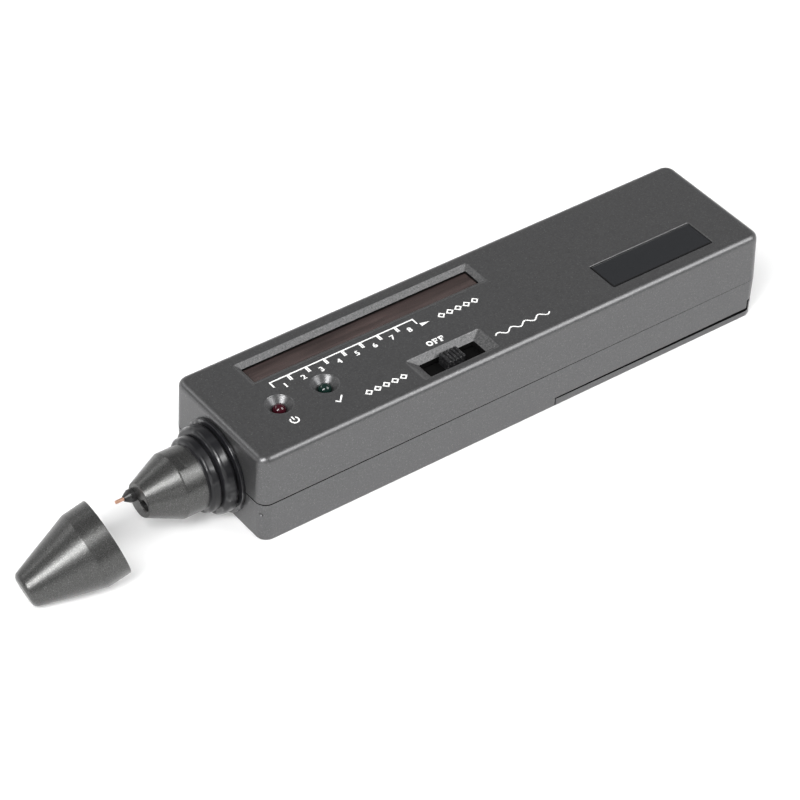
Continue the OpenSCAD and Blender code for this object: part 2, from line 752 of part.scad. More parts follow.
module main_board() {
    color(board_green) difference() {
        translate([board_x0, -board_w / 2, board_z]) cube([board_x1 - board_x0, board_w, board_t]);
        for (x = board_screw_x, y = [-1, 1]) translate([x, y * board_screw_y, board_z - 1])
            cylinder(r = board_screw_r + bore_gap, h = board_t + 2);
    }
}

// Screw with a cross-slotted pan head, its head down at the origin and its shank up
module screw(r, l, head_r, head_t) {
    slot_width = 0.5;
    slot_depth = 0.5;
    translate([0, 0, -head_t]) difference() {
        cylinder(r = head_r, h = head_t);
        for (a = [0, 90]) rotate(a) translate([0, 0, -1])
            plan_box(1.3 * head_r, slot_width, 1 + slot_depth);
    }
    translate([0, 0, -weld]) cylinder(r = r, h = l + weld);
}

module board_screws() {
    color(steel) for (x = board_screw_x, y = [-1, 1])
        translate([x, y * board_screw_y, board_top]) mirror([0, 0, 1])
            screw(board_screw_r, board_screw_l, board_head_r, board_head_t);
}

module case_screws() {
    color(steel) for (i = [0, 1], y = [-1, 1])
        translate([case_screw_x[i], y * case_screw_y, case_seat_z[i]])
            screw(case_screw_r, case_screw_l, case_head_r, case_head_t);
}

// Chip hung under the board, with its legs up to the board
module chip(l, w, h, legs) {
    standoff = 0.5;
    leg_w = 0.5;
    leg_t = 0.7;
    translate([0, 0, -standoff - h]) plan_box(l, w, h);
    for (i = [0:legs - 1], y = [-1, 1])
        translate([(i - (legs - 1) / 2) * chip_pitch, y * (w / 2 + leg_t / 2 - weld), -standoff - h / 2])
            plan_box(leg_w, leg_t, standoff + h / 2);
}

module main_chip() {
    color(soft_black) translate([main_chip_x, board_w / 2 - chip_in, board_z])
        chip(chip_pitch * 8 - 0.3, chip_w, chip_h, 8);
}

module small_chips() {
    color(soft_black) for (s = [-1, 1]) translate([board_x1 - small_chip_rear, s * small_chip_y - 2, board_z])
        chip(chip_pitch * 4 - 0.3, chip_w, chip_h, 4);
}

module resistors() {
    count = 8;
    stagger = 0.6;
    color([0.80, 0.68, 0.48]) for (i = [0:count - 1])
        translate([window_x + (i - (count - 1) / 2) * resistor_pitch, stagger * (i % 2),
            board_top + resistor_r])
            rotate([90, 0, 0]) translate([0, 0, -resistor_l / 2]) cylinder(r = resistor_r, h = resistor_l);
}

// Two small capacitors near the front and one larger near the battery, hung under the board
module capacitors() {
    small = [2.5, 7];
    large = [3.15, 8];
    color([0.10, 0.14, 0.30]) {
        for (i = [0, 1]) translate([trimmer_x + capacitor_pitch * i, board_w / 2 - capacitor_in + i, board_z - small[1]])
            cylinder(r = small[0], h = small[1]);
        translate([board_x1 - capacitor_rear, -3, board_z - large[1]]) cylinder(r = large[0], h = large[1]);
    }
}

module trimmers() {
    slot_l = 2.6;
    slot_w = 0.6;
    slot_d = 0.6;
    color([0.14, 0.30, 0.62]) for (i = [0, 1])
        translate([trimmer_x, -board_w / 2 + trimmer_in + trimmer_pitch * i, board_z - trimmer_h])
            difference() {
                plan_box(trimmer_side, trimmer_side, trimmer_h);
                translate([0, 0, -1]) plan_box(slot_l, slot_w, 1 + slot_d);
            }
}

// Three-legged regulator with one flat side
module regulator() {
    r = 2.3;
    tall = 4.8;
    color(soft_black) translate([board_x1 - regulator_rear, 0.6, board_top]) difference() {
        cylinder(r = r, h = tall);
        translate([-r - 1, r / 2, -1]) cube([2 * r + 2, r, tall + 2]);
    }
}

module buzzer() {
    tall = 5.4;
    mouth_r = 0.8;
    mouth_depth = 0.8;
    color(soft_black) translate([main_chip_x - buzzer_back, buzzer_in - board_w / 2, board_z]) mirror([0, 0, 1])
        difference() {
            cylinder(r = buzzer_r, h = tall);
            translate([0, 0, tall - mouth_depth]) cylinder(r = mouth_r, h = mouth_depth + 1);
        }
}

module battery() {
    rim = 0.7;
    color([0.13, 0.20, 0.36]) translate([battery_x0, 0, battery_z0]) {
        translate([battery_l / 2, 0, battery_h / 2]) rotate([0, 90, 0])
            translate([0, 0, -battery_l / 2]) rounded_block(battery_h, battery_w, battery_l, 1.8);
        for (i = [0, 1])
            rod_x(-terminal_h, terminal_y * (1 - 2 * i), battery_h / 2, terminal_r[i], terminal_h + rim);
    }
}

module battery_snap() {
    over = 0.2;
    color(soft_black) difference() {
        translate([battery_x0 - snap_t, 0, battery_zc]) rotate([0, 90, 0])
            rounded_block(snap_h, snap_w, snap_t - slide_gap, snap_r);
        for (i = [0, 1]) rod_x(battery_x0 - terminal_h - over, terminal_y * (1 - 2 * i), battery_zc,
            terminal_r[i] + over, terminal_h + 1);
    }
}

// Two leads from the snap down to the rear edge of the board
module battery_leads() {
    x0 = battery_x0 - snap_t;
    z0 = battery_zc - lead_drop;
    x1 = board_x1 - 1.8;
    color([0.60, 0.06, 0.06]) for (y = [-1.6, 1.6])
        tube(lead([x0, y, z0], [[x0 - 1.6, y, z0], [x0 - 4.6, y, z0 + 0.3], [x1 + 0.8, y, board_z - 3],
            [x1, y, board_z - 1.2]], [x1, y, board_z]), battery_wire_r, 8, [0, 1, 0]);
}

module battery_pad() {
    margin = 5;
    color([0.16, 0.16, 0.17]) translate([battery_x0 + battery_l / 2, 0, battery_z0 + battery_h + fit])
        rounded_block(battery_l - 2 * margin, battery_w - 2 * margin, pad_t, 2);
}

module label_plate() {
    color([0.05, 0.05, 0.055])
        translate([rear_x - plate_rear, plate_edge - case_w / 2, case_h - plate_t])
        rounded_block(plate_l, plate_w, plate_t, 0.7);
}

module nose_cone() {
    color(nose_grey) difference() {
        union() {
            turned_x(front_x, 0, nose_z) polygon([
                [0, front_x - nose_rear_x], [keeper_r, front_x - nose_rear_x],
                [keeper_r, front_x - wall_in_x - fit], [spigot_r, front_x - wall_in_x - fit],
                [spigot_r, collar_l], [nose_r, collar_l], [nose_r, front_x - shoulder_x],
                [nose_tip_r, front_x - face_x], [0, front_x - face_x]]);
        }
        rod_x(face_x - 1, probe_y, nose_z, barrel_r + bore_gap, nose_rear_x - face_x + 2);
        rod_x(face_x - 1, nose_lamp_y, nose_z, nose_lamp_r - bore_gap, nose_lamp_dip + 2);
        rod_x(nose_lamp_x0 - nose_lamp_r, nose_lamp_y, nose_z, nose_lamp_r + bore_gap,
            nose_rear_x - nose_lamp_x0 + nose_lamp_r + 1);
        rod_x(nose_lamp_back - 1, nose_lamp_y, nose_z, nose_lamp_flange_r + bore_gap,
            nose_rear_x - nose_lamp_back + 2);
        translate([0, 0, nose_z]) rotate([nose_flat_turn, 0, 0])
            translate([shoulder_x - 3, -nose_r, nose_r - nose_flat_depth])
                cube([nose_flat_l + 3, 2 * nose_r, nose_r]);
    }
}

module nose_collar() {
    color(gloss_black) difference() {
        turned_x(front_x, 0, nose_z) {
            polygon([[0, 0], [collar_flange_r, 0], [collar_flange_r, flange_t],
                [rib_rear_r - 0.6, flange_t + 0.2], [groove_r, rib_rear_x + rib_rear_bulge],
                [groove_r - 0.6, rib_front_x], [nose_r + 0.1, collar_l], [0, collar_l]]);
            translate([rib_rear_r - rib_rear_bulge, rib_rear_x]) circle(rib_rear_bulge);
            translate([rib_front_r - rib_front_bulge, rib_front_x]) circle(rib_front_bulge);
        }
        rod_x(spigot_x0 - 1, 0, nose_z, spigot_r + fit, collar_l + 2);
        translate([spigot_x0 - 1, -case_w / 2, collar_floor_gap - case_h])
            cube([collar_l + 2, case_w, case_h]);
    }
}

module probe_sleeve() {
    tip_r = pin_r + 0.22;
    color(soft_black) difference() {
        turned_x(face_x, probe_y, nose_z) polygon([[0, -shank_l], [barrel_r, -shank_l], [barrel_r, 0],
            [sleeve_r, 0], [sleeve_r, 0.5], [tip_r, sleeve_l], [0, sleeve_l]]);
        rod_x(face_x - sleeve_l - 1, probe_y, nose_z, pin_r + pin_gap, sleeve_l + shank_l + 2);
    }
}

module probe_barrel() {
    color(brass) difference() {
        rod_x(barrel_x0, probe_y, nose_z, barrel_r, barrel_x1 - barrel_x0);
        rod_x(barrel_x0 - 1, probe_y, nose_z, barrel_in_r, barrel_x1 - barrel_x0 + 2);
    }
}

module probe_tip() {
    round_end = 0.15;
    color(copper) {
        turned_x(pin_x0, probe_y, nose_z) polygon([[0, 0], [pin_r - round_end, 0], [pin_r, -round_end],
            [pin_r, pin_x0 - plunger_x0 - weld], [0, pin_x0 - plunger_x0 - weld]]);
        rod_x(plunger_x0, probe_y, nose_z, plunger_r, plunger_t);
    }
}

// Coil spring between the plunger and the plug
spring_steps = 12;
spring_run = spring_l - 2 * spring_wire_r - 2 * bore_gap;
function coil_point(i) = let (k = i / (spring_steps * spring_turns), a = 360 * spring_turns * k)
    [spring_x0 + bore_gap + spring_wire_r + spring_run * k, probe_y + spring_coil_r * cos(a),
        nose_z + spring_coil_r * sin(a)];
module probe_spring() {
    least_gap = spring_run / spring_turns - 2 * spring_wire_r;
    echo(spring_least_gap = least_gap);
    color(steel)
        tube([for (i = [0:spring_steps * spring_turns]) coil_point(i)], spring_wire_r, 6, [1, 0, 0]);
}

module probe_plug() {
    color(soft_black) rod_x(plug_x0, probe_y, nose_z, barrel_in_r - bore_gap, plug_x1 - plug_x0);
}

// Two leads from the probe's plug up to the underside of the board
module probe_leads() {
    x1 = board_x0 + probe_lead_in;
    color([0.75, 0.75, 0.72]) for (y = [-1, 1]) let (w = probe_y + 0.62 * y)
        tube(lead([plug_x1, w, nose_z], [[plug_x1 + 0.9, w, nose_z], [plug_x1 + 3.1, w, nose_z - 1.5],
            [x1 - 0.6, w, board_z - 2.4], [x1, w, board_z - 1]], [x1, w, board_z]),
            thin_wire_r, 8, [0, 1, 0]);
}

module nose_lamp() {
    color([0.72, 0.70, 0.82]) translate([nose_lamp_back, nose_lamp_y, nose_z]) rotate([0, -90, 0])
        dome_lamp(nose_lamp_r, nose_lamp_flange_r, 1, nose_lamp_back - nose_lamp_x0);
}

// Two leads from the nose lamp back through the spigot to the board
module nose_lamp_leads() {
    x1 = board_x0 + lamp_lead_in;
    color([0.10, 0.10, 0.10]) for (y = [-1, 1]) let (w = nose_lamp_y + 0.6 * y)
        tube(lead([nose_lamp_back, w, nose_z], [[nose_rear_x + 0.6, w, nose_z],
            [nose_rear_x + 3.6, w, nose_z - 1.7], [x1 - 0.7, w, board_z - 2.6], [x1, w, board_z - 1]],
            [x1, w, board_z]), thin_wire_r, 8, [0, 1, 0]);
}

// Outline of the cap's outside from its mouth to its tip: [distance from the mouth, radius]
cap_arc = [for (i = [0:6]) let (a = (90 - cap_tilt) * (1 - i / 6))
    [cap_round_c[0] + cap_round_r * cos(a), cap_round_c[1] + cap_round_r * sin(a)]];
function cap_inner_r(d) = cap_in_r - (d - cap_band_l) * tan(cap_tilt);
module cap() {
    floor_d = cap_l - cap_end_t;
    color(nose_grey) translate([pin_x0 - cap_ahead, -cap_aside, cap_z]) rotate([0, 0, cap_turn])
        rotate([0, -cap_tilt, 0]) rotate([0, -90, 0]) rotate_extrude() polygon(concat(
            [[cap_in_r, 0], [cap_r, 0], [cap_band_end[1], cap_band_end[0]]],
            [for (p = cap_arc) [p[1], p[0]]], [[0, cap_l], [0, floor_d]],
            [[cap_inner_r(floor_d), floor_d], [cap_in_r, cap_band_l]]));
}

upper_shell();
lower_shell();
battery_door();
window_lens();
lamp_baffle();
scale_lamps();
round_lamp(0, [0.75, 0.08, 0.06]);  // power_lamp
round_lamp(1, [0.12, 0.62, 0.25]);  // ready_lamp
lamp_spacers();
mode_switch();
switch_knob();
main_board();
board_screws();
case_screws();
main_chip();
small_chips();
resistors();
capacitors();
trimmers();
regulator();
buzzer();
battery();
battery_snap();
battery_leads();
battery_pad();
label_plate();
nose_cone();
nose_collar();
probe_sleeve();
probe_barrel();
probe_tip();
probe_spring();
probe_plug();
probe_leads();
nose_lamp();
nose_lamp_leads();
cap();
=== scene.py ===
import math

import bmesh
import bpy
from mathutils import Matrix, Vector


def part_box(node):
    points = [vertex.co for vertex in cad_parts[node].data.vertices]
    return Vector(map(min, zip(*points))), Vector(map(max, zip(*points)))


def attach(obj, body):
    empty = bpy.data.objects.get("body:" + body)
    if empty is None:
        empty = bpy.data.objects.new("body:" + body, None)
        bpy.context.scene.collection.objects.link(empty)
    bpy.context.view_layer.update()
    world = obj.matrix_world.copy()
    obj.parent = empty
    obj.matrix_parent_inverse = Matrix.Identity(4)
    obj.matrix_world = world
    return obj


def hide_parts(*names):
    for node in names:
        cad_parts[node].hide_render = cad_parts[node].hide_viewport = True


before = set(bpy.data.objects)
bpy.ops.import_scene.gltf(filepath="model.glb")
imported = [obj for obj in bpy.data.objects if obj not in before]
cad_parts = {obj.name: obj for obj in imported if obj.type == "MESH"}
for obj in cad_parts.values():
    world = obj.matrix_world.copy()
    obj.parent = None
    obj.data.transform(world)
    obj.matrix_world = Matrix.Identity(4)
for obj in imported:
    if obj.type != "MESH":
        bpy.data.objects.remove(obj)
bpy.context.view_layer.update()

# Floor, light and camera
# A pale sweep under the tester, large soft lights from the near right and over the nose, weak ones from
# the near left and the far left, and a long lens at the place that the photograph was taken from.
mm = 0.001
scene = bpy.context.scene
scene.view_settings.view_transform = "Standard"

camera_place = Vector((-374.26, -462.47, 501.11)) * mm
camera_right = Vector((0.8065, -0.5908, 0.0219))
camera_up = Vector((0.37, 0.5333, 0.7607))
camera_back = Vector((-0.4611, -0.6054, 0.6487))
camera_data = bpy.data.cameras.new("camera")
camera_data.lens = 144.8
camera_data.sensor_width = 36
camera = bpy.data.objects.new("camera", camera_data)
camera_turn = Matrix((camera_right, camera_up, camera_back)).transposed().to_4x4()
camera.matrix_world = Matrix.Translation(camera_place) @ camera_turn
scene.collection.objects.link(camera)
scene.camera = camera


def softbox(name, direction, distance, size, watts, roll=0):
    """A soft light with straight sides that looks at the middle of the case."""
    data = bpy.data.lights.new(name, "AREA")
    data.shape = "RECTANGLE"
    data.size, data.size_y = size
    data.energy = watts
    light = bpy.data.objects.new(name, data)
    light.location = Vector(direction).normalized() * distance
    light.rotation_euler = light.location.to_track_quat("Z", "Y").to_euler()
    light.rotation_euler.rotate_axis("Z", math.radians(roll))
    scene.collection.objects.link(light)


softbox("key_light", (0.497, -0.514, 0.70), 1.2, (0.66, 0.8), 10)
softbox("front_light", (-0.69, -0.312, 0.653), 1.28, (0.38, 0.95), 17.5, -29)
softbox("low_light", (-0.45, -0.85, 0.30), 1.2, (0.3, 0.3), 0.5)
softbox("far_light", (-0.43, 0.685, 0.588), 1.4, (0.8, 0.36), 2.3)


def feed(links, socket, value):
    """Links an output to a socket, or gives the socket a plain value."""
    if isinstance(value, bpy.types.NodeSocket):
        links.new(value, socket)
    else:
        socket.default_value = value


def reckon(nodes, links, operation, *values):
    """A math node on outputs and plain values. Gives its result."""
    maths = nodes.new("ShaderNodeMath")
    maths.operation = operation
    for socket, value in zip(maths.inputs, values):
        feed(links, socket, value)
    return maths.outputs["Value"]


def ranged(nodes, links, value, low, high, new_low=0, new_high=1):
    """Carries a value from one range to another, held within it. Gives its result."""
    scaled = nodes.new("ShaderNodeMapRange")
    for end, at in (("From Min", low), ("From Max", high), ("To Min", new_low), ("To Max", new_high)):
        scaled.inputs[end].default_value = at
    links.new(value, scaled.inputs["Value"])
    return scaled.outputs["Result"]


def placed(nodes):
    """The piece's own coordinates."""
    return nodes.new("ShaderNodeTexCoord").outputs["Object"]


# The world is white behind everything the camera, metal or glass sees of the sweep, which rises at the
# back, and dimmer overhead and on the camera's side, where the room is.
sweep_tilt = (-0.19, -0.23, 1)
sweep_edge, room_edge = 0.05, 0.25
room_level = 0.22
diffuse_level = 0.25
world = bpy.data.worlds.new("studio")
scene.world = world
world.use_nodes = True
nodes, links = world.node_tree.nodes, world.node_tree.links
height = nodes.new("ShaderNodeVectorMath")
height.operation = "DOT_PRODUCT"
height.inputs[1].default_value = sweep_tilt
links.new(nodes.new("ShaderNodeTexCoord").outputs["Generated"], height.inputs[0])
sweep = ranged(nodes, links, height.outputs["Value"], sweep_edge, room_edge, 1, room_level)
rays = nodes.new("ShaderNodeLightPath").outputs
mirrored = reckon(nodes, links, "MAXIMUM", rays["Is Glossy Ray"], rays["Is Transmission Ray"])
reflected = nodes.new("ShaderNodeMix")
reflected.inputs["A"].default_value = diffuse_level
links.new(mirrored, reflected.inputs["Factor"])
links.new(sweep, reflected.inputs["B"])
sky = nodes["Background"]
sky.inputs["Color"].default_value = (1, 1, 1, 1)
sky_level = reckon(nodes, links, "MAXIMUM", rays["Is Camera Ray"], reflected.outputs["Result"])
links.new(sky_level, sky.inputs["Strength"])

# The floor is paper, lifted a little towards white, and all the way where the camera sees it far off
floor_size = 6
floor_drop = 0.05 * mm
floor_lift = 0.25
far_lift = 0.75
far_from, far_to = 0.4, 1.2
bpy.ops.object.select_all(action="DESELECT")
bpy.ops.mesh.primitive_plane_add(size=floor_size, location=(0, 0, -floor_drop))
floor = bpy.context.object
floor.name = "floor"
floor_paper = bpy.data.materials.new("floor_paper")
floor_paper.use_nodes = True
floor.data.materials.append(floor_paper)
nodes, links = floor_paper.node_tree.nodes, floor_paper.node_tree.links
paper = nodes["Principled BSDF"]
paper.inputs["Base Color"].default_value = (0.8, 0.8, 0.8, 1)
paper.inputs["Roughness"].default_value = 0.9
paper.inputs["Specular IOR Level"].default_value = 0.1
paper.inputs["Emission Color"].default_value = (1, 1, 1, 1)
rays = nodes.new("ShaderNodeLightPath").outputs
seen = reckon(nodes, links, "MAXIMUM", rays["Is Camera Ray"], rays["Is Glossy Ray"])
seen = reckon(nodes, links, "MAXIMUM", seen, rays["Is Transmission Ray"])
lift = reckon(nodes, links, "MULTIPLY", seen, floor_lift)
reach = nodes.new("ShaderNodeVectorMath")
reach.operation = "LENGTH"
links.new(placed(nodes), reach.inputs[0])
fade = ranged(nodes, links, reach.outputs["Value"], far_from, far_to, 0, far_lift)
lift = reckon(nodes, links, "MULTIPLY_ADD", fade, rays["Is Camera Ray"], lift)
links.new(lift, paper.inputs["Emission Strength"])
underside = nodes.new("ShaderNodeNewGeometry")
clear = nodes.new("ShaderNodeBsdfTransparent")
either = nodes.new("ShaderNodeMixShader")
links.new(underside.outputs["Backfacing"], either.inputs["Fac"])
links.new(paper.outputs["BSDF"], either.inputs[1])
links.new(clear.outputs["BSDF"], either.inputs[2])
links.new(either.outputs["Shader"], nodes["Material Output"].inputs["Surface"])

# Lower shell
# The tray half of the case, moulded in dark grey plastic with a fine spark grain. Its rim keys into
# the upper shell, its posts carry the board and take the case screws, and its rear is open for the door.
case_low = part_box("lower_shell")[0]
case_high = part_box("upper_shell")[1]
case_size = case_high - case_low
part_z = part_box("upper_shell")[0].z
rim_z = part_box("lower_shell")[1].z
door_low, door_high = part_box("battery_door")
board_low, board_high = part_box("main_board")
battery_low, battery_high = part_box("battery")
draft = 0.26 * mm
wall = 1.9 * mm
corner_r = 2.9 * mm
top_r = 1.7 * mm
base_r = 0.7 * mm
hair = 0.002 * mm
past = 1 * mm
inner_x = case_high.x - wall - draft
inner_y = case_high.y - wall - draft
inner_top = case_high.z - wall
inner_r = corner_r - wall


def only(piece):
    """Selects one object and nothing else."""
    bpy.ops.object.select_all(action="DESELECT")
    piece.select_set(True)
    bpy.context.view_layer.objects.active = piece


def edit(piece):
    """Edit mode on one object, with nothing of it selected."""
    only(piece)
    bpy.ops.object.mode_set(mode="EDIT")
    bpy.ops.mesh.select_mode(type="VERT")
    bpy.ops.mesh.select_all(action="DESELECT")


def leave(piece):
    """Object mode again, with doubles merged and the faces turned outwards."""
    bpy.ops.mesh.select_all(action="SELECT")
    bpy.ops.mesh.remove_doubles(threshold=hair)
    bpy.ops.mesh.normals_make_consistent(inside=False)
    bpy.ops.object.mode_set(mode="OBJECT")


def pick(piece, kind, test):
    """Selects, in edit mode, the faces or edges whose corners all pass a test."""
    bpy.ops.mesh.select_mode(type=kind)
    bpy.ops.mesh.select_all(action="DESELECT")
    mesh = bmesh.from_edit_mesh(piece.data)
    for part in mesh.faces if kind == "FACE" else mesh.edges:
        if test([corner.co for corner in part.verts]):
            part.select_set(True)
    bmesh.update_edit_mesh(piece.data)


def settle(piece):
    """Puts an added primitive's place, turn and size into its mesh."""
    only(piece)
    bpy.ops.object.transform_apply(location=True, rotation=True, scale=True)
    return piece


def added(name, add, **given):
    """Adds a primitive with nothing else selected, names it and settles it."""
    bpy.ops.object.select_all(action="DESELECT")
    add(**given)
    bpy.context.object.name = name
    return settle(bpy.context.object)


def block(name, low, high):
    """A box between two corners, as the start of a piece or a tool that cuts one."""
    low, high = Vector(low), Vector(high)
    return added(name, bpy.ops.mesh.primitive_cube_add, size=1, location=(low + high) / 2, scale=high - low)


def post(name, x, y, radius, low, high, sides=48):
    """An upright cylinder between two heights."""
    return added(name, bpy.ops.mesh.primitive_cylinder_add, vertices=sides, radius=radius,
        depth=high - low, location=(x, y, (low + high) / 2))


def rod(name, x0, x1, y, z, radius, sides=48):
    """A cylinder along X between two places."""
    return added(name, bpy.ops.mesh.primitive_cylinder_add, vertices=sides, radius=radius,
        depth=x1 - x0, location=((x0 + x1) / 2, y, z), rotation=(0, math.pi / 2, 0))


def lofted(name, centre, size, corner, levels, spread=(1, 1)):
    """A block with round corners, grown level by level: each is a height and how far its sides stand out."""
    sizes = [[size[i] + 2 * out * spread[i] for i in (0, 1)] for _, out in levels]
    first_z, first_out = levels[0]
    bpy.ops.object.select_all(action="DESELECT")
    bpy.ops.mesh.primitive_plane_add(size=1, location=(centre[0], centre[1], first_z))
    piece = bpy.context.object
    piece.name = name
    piece.scale = (*sizes[0], 1)
    settle(piece)
    edit(piece)
    bpy.ops.mesh.select_all(action="SELECT")
    if corner + first_out > 0:
        bpy.ops.mesh.bevel(offset=corner + first_out, segments=6, affect="VERTICES")
    pick(piece, "FACE", lambda corners: True)
    for k in range(1, len(levels)):
        z = levels[k][0]
        bpy.ops.mesh.extrude_region_move(TRANSFORM_OT_translate={"value": (0, 0, z - levels[k - 1][0])})
        bpy.ops.transform.resize(center_override=(centre[0], centre[1], z),
            value=(sizes[k][0] / sizes[k - 1][0], sizes[k][1] / sizes[k - 1][1], 1))
    leave(piece)
    return piece


def combine(piece, others, operation):
    """Cuts other objects out of a piece, welds them on, or keeps what they share."""
    for other in others:
        only(piece)
        change = piece.modifiers.new("combine", "BOOLEAN")
        change.solver = "EXACT"
        change.operation = operation
        change.object = other
        bpy.ops.object.modifier_apply(modifier=change.name)
        bpy.data.objects.remove(other)


def cut(piece, *tools):
    combine(piece, tools, "DIFFERENCE")


def weld(piece, *parts):
    combine(piece, parts, "UNION")


def smooth(piece, angle=30):
    """Smooth shading across fillets, with flat faces left flat."""
    only(piece)
    bpy.ops.object.shade_smooth_by_angle(angle=math.radians(angle))
    evened = piece.modifiers.new("evened", "WEIGHTED_NORMAL")
    evened.keep_sharp = True
    evened.weight = 100
    bpy.ops.object.modifier_apply(modifier=evened.name)


def case_form(name):
    """The closed case: a block drawn in to the top and the base, with round corners and edges."""
    form = block(name, case_low, case_high)
    edit(form)
    bpy.ops.mesh.select_all(action="SELECT")
    bpy.ops.mesh.bisect(plane_co=(0, 0, part_z), plane_no=(0, 0, 1))
    drawn_in = (1 - 2 * draft / case_size.x, 1 - 2 * draft / case_size.y, 1)
    for z in (case_low.z, case_high.z):
        pick(form, "FACE", lambda corners: all(abs(c.z - z) < hair for c in corners))
        bpy.ops.transform.resize(value=drawn_in, center_override=(0, 0, z))
    pick(form, "EDGE", lambda ends: abs(ends[0].z - ends[1].z) > wall)
    bpy.ops.mesh.bevel(offset=corner_r, segments=10, affect="EDGES")
    for z, radius in ((case_high.z, top_r), (case_low.z, base_r)):
        pick(form, "EDGE", lambda ends: all(abs(c.z - z) < hair for c in ends))
        bpy.ops.mesh.bevel(offset=radius, segments=8, affect="EDGES")
    leave(form)
    return form


def cavity():
    """The room inside both shells."""
    return lofted("cavity", (0, 0), (2 * inner_x, 2 * inner_y), inner_r, [(wall, 0), (inner_top, 0)])


def halves(form, above):
    """Keeps the part of the case above or below the parting line, closed by a flat face."""
    edit(form)
    bpy.ops.mesh.select_all(action="SELECT")
    bpy.ops.mesh.bisect(plane_co=(0, 0, part_z), plane_no=(0, 0, 1), use_fill=True,
        clear_inner=above, clear_outer=not above)
    leave(form)
    return form


tongue_t = 0.8 * mm
joint_gap = 0.1 * mm
door_gap = 0.35 * mm
slide_gap = 0.3 * mm
seam_h = 0.34 * mm
seam_rear_h = 0.06 * mm
seam_depth = 0.45 * mm
door_lip_z = 2.45 * mm
door_step_x = case_high.x - 2.35 * mm
screw_low, screw_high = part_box("case_screws")
screw_head_r = 2.2 * mm
screw_spots = [(x, y) for x in (screw_low.x + screw_head_r, screw_high.x - screw_head_r)
    for y in (screw_low.y + screw_head_r, screw_high.y - screw_head_r)]
screw_seats = (2.9 * mm, 4.4 * mm)
screw_boss_t = 1.6 * mm
screw_boss_r, case_post_r = 3.6 * mm, 2.5 * mm
screw_clear_r, screw_pilot_r = 1.5 * mm, 1.25 * mm
bay_floor_z, bay_floor_top = 3.6 * mm, 5.4 * mm
board_post_r, board_pilot_r = 2.4 * mm, 1.05 * mm
board_pilot_z = 7.3 * mm
board_screw_low, board_screw_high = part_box("board_screws")
board_head_r = 2 * mm
board_spots = [(x, y) for x in (board_screw_low.x + board_head_r, board_screw_high.x - board_head_r)
    for y in (board_screw_low.y + board_head_r, board_screw_high.y - board_head_r)]
nose_z = (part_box("nose_cone")[0].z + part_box("nose_cone")[1].z) / 2
spigot_bore_r = 6.1 * mm
weld_in = 0.1 * mm

lower_shell = halves(case_form("lower_shell_piece"), above=False)
weld(lower_shell, lofted("rim", (0, 0), (2 * inner_x + 2 * tongue_t, 2 * inner_y + 2 * tongue_t),
    inner_r + tongue_t - joint_gap, [(part_z - past, 0), (rim_z, 0)]))
cut(lower_shell, cavity())

# Posts for the board and the case screws
for x, y in board_spots:
    weld(lower_shell, post("board_post", x, y, board_post_r, wall - weld_in, board_low.z))
    cut(lower_shell, post("board_hole", x, y, board_pilot_r, board_pilot_z, board_high.z))
for x, y in screw_spots:
    front = x < 0
    seat = screw_seats[0] if front else screw_seats[1]
    foot = wall - weld_in if front else bay_floor_z
    weld(lower_shell, post("screw_post", x, y, case_post_r, foot, part_z))
    if front:
        weld(lower_shell, post("screw_boss", x, y, screw_boss_r, foot, seat + screw_boss_t))

# Floor of the bay's front end, ledges that hold the door's hooks, and fins that hold the battery's sides
bay_front = door_low.x + 2.5 * mm
battery_l = 48.5 * mm
rail_gap = 4.1 * mm
rail_front = battery_high.x - battery_l
rail_rear = case_high.x - 8 * mm
ledge_in = 1.14 * mm
ledge_t = 0.8 * mm
ledge_z = door_lip_z + door_gap
weld(lower_shell, block("bay_floor", (bay_front - door_gap, -inner_y - weld_in, bay_floor_z),
    (rail_front - rail_gap, inner_y + weld_in, bay_floor_top)))
fin_pitch = 12.5 * mm
fin_t = 1.2 * mm
fin_foot = 5.1 * mm
fin_spots = [rail_front + 5 * mm + i * fin_pitch for i in range(4)]
for side in (-1, 1):
    edges = sorted((side * (inner_y - ledge_in), side * (inner_y + weld_in)))
    weld(lower_shell, block("ledge", (rail_front, edges[0], ledge_z),
        (rail_rear, edges[1], ledge_z + ledge_t)))
    edges = sorted((side * (battery_high.y + slide_gap), side * (inner_y + weld_in)))
    for x in fin_spots:
        weld(lower_shell, block("fin", (x, edges[0], fin_foot), (x + fin_t, edges[1], part_z)))

# Opening for the door, the screws' counterbores, the bore for the nose, and the fine seam below the rim
for x, y in screw_spots:
    seat = screw_seats[0] if x < 0 else screw_seats[1]
    cut(lower_shell, post("counterbore", x, y, screw_head_r + slide_gap, -past, seat))
    cut(lower_shell, post("screw_hole", x, y, screw_clear_r, -past, part_z + past))
cut(lower_shell, block("door_way", (bay_front - door_gap, -case_size.y, -past),
    (case_high.x + past, case_size.y, door_lip_z + door_gap)))
cut(lower_shell, block("door_end_way", (door_step_x - door_gap, -case_size.y, 0),
    (case_high.x + past, case_size.y, door_high.z + door_gap)))
nose_bore_end = case_low.x + 4 * mm
cut(lower_shell, rod("nose_bore", case_low.x - past, nose_bore_end, 0, nose_z, spigot_bore_r))
seam = block("seam", (case_low.x - past, case_low.y - past, part_z - seam_h),
    (case_high.x + past, case_high.y + past, part_z + hair))
edit(seam)
pick(seam, "FACE", lambda corners: all(c.x > 0 for c in corners))
bpy.ops.transform.resize(value=(1, 1, seam_rear_h / seam_h), center_override=(0, 0, part_z))
leave(seam)
cut(seam, lofted("seam_core", (0, 0), (case_size.x - 2 * seam_depth, case_size.y - 2 * seam_depth),
    corner_r - seam_depth, [(part_z - past, 0), (part_z + past, 0)]))
cut(lower_shell, seam)

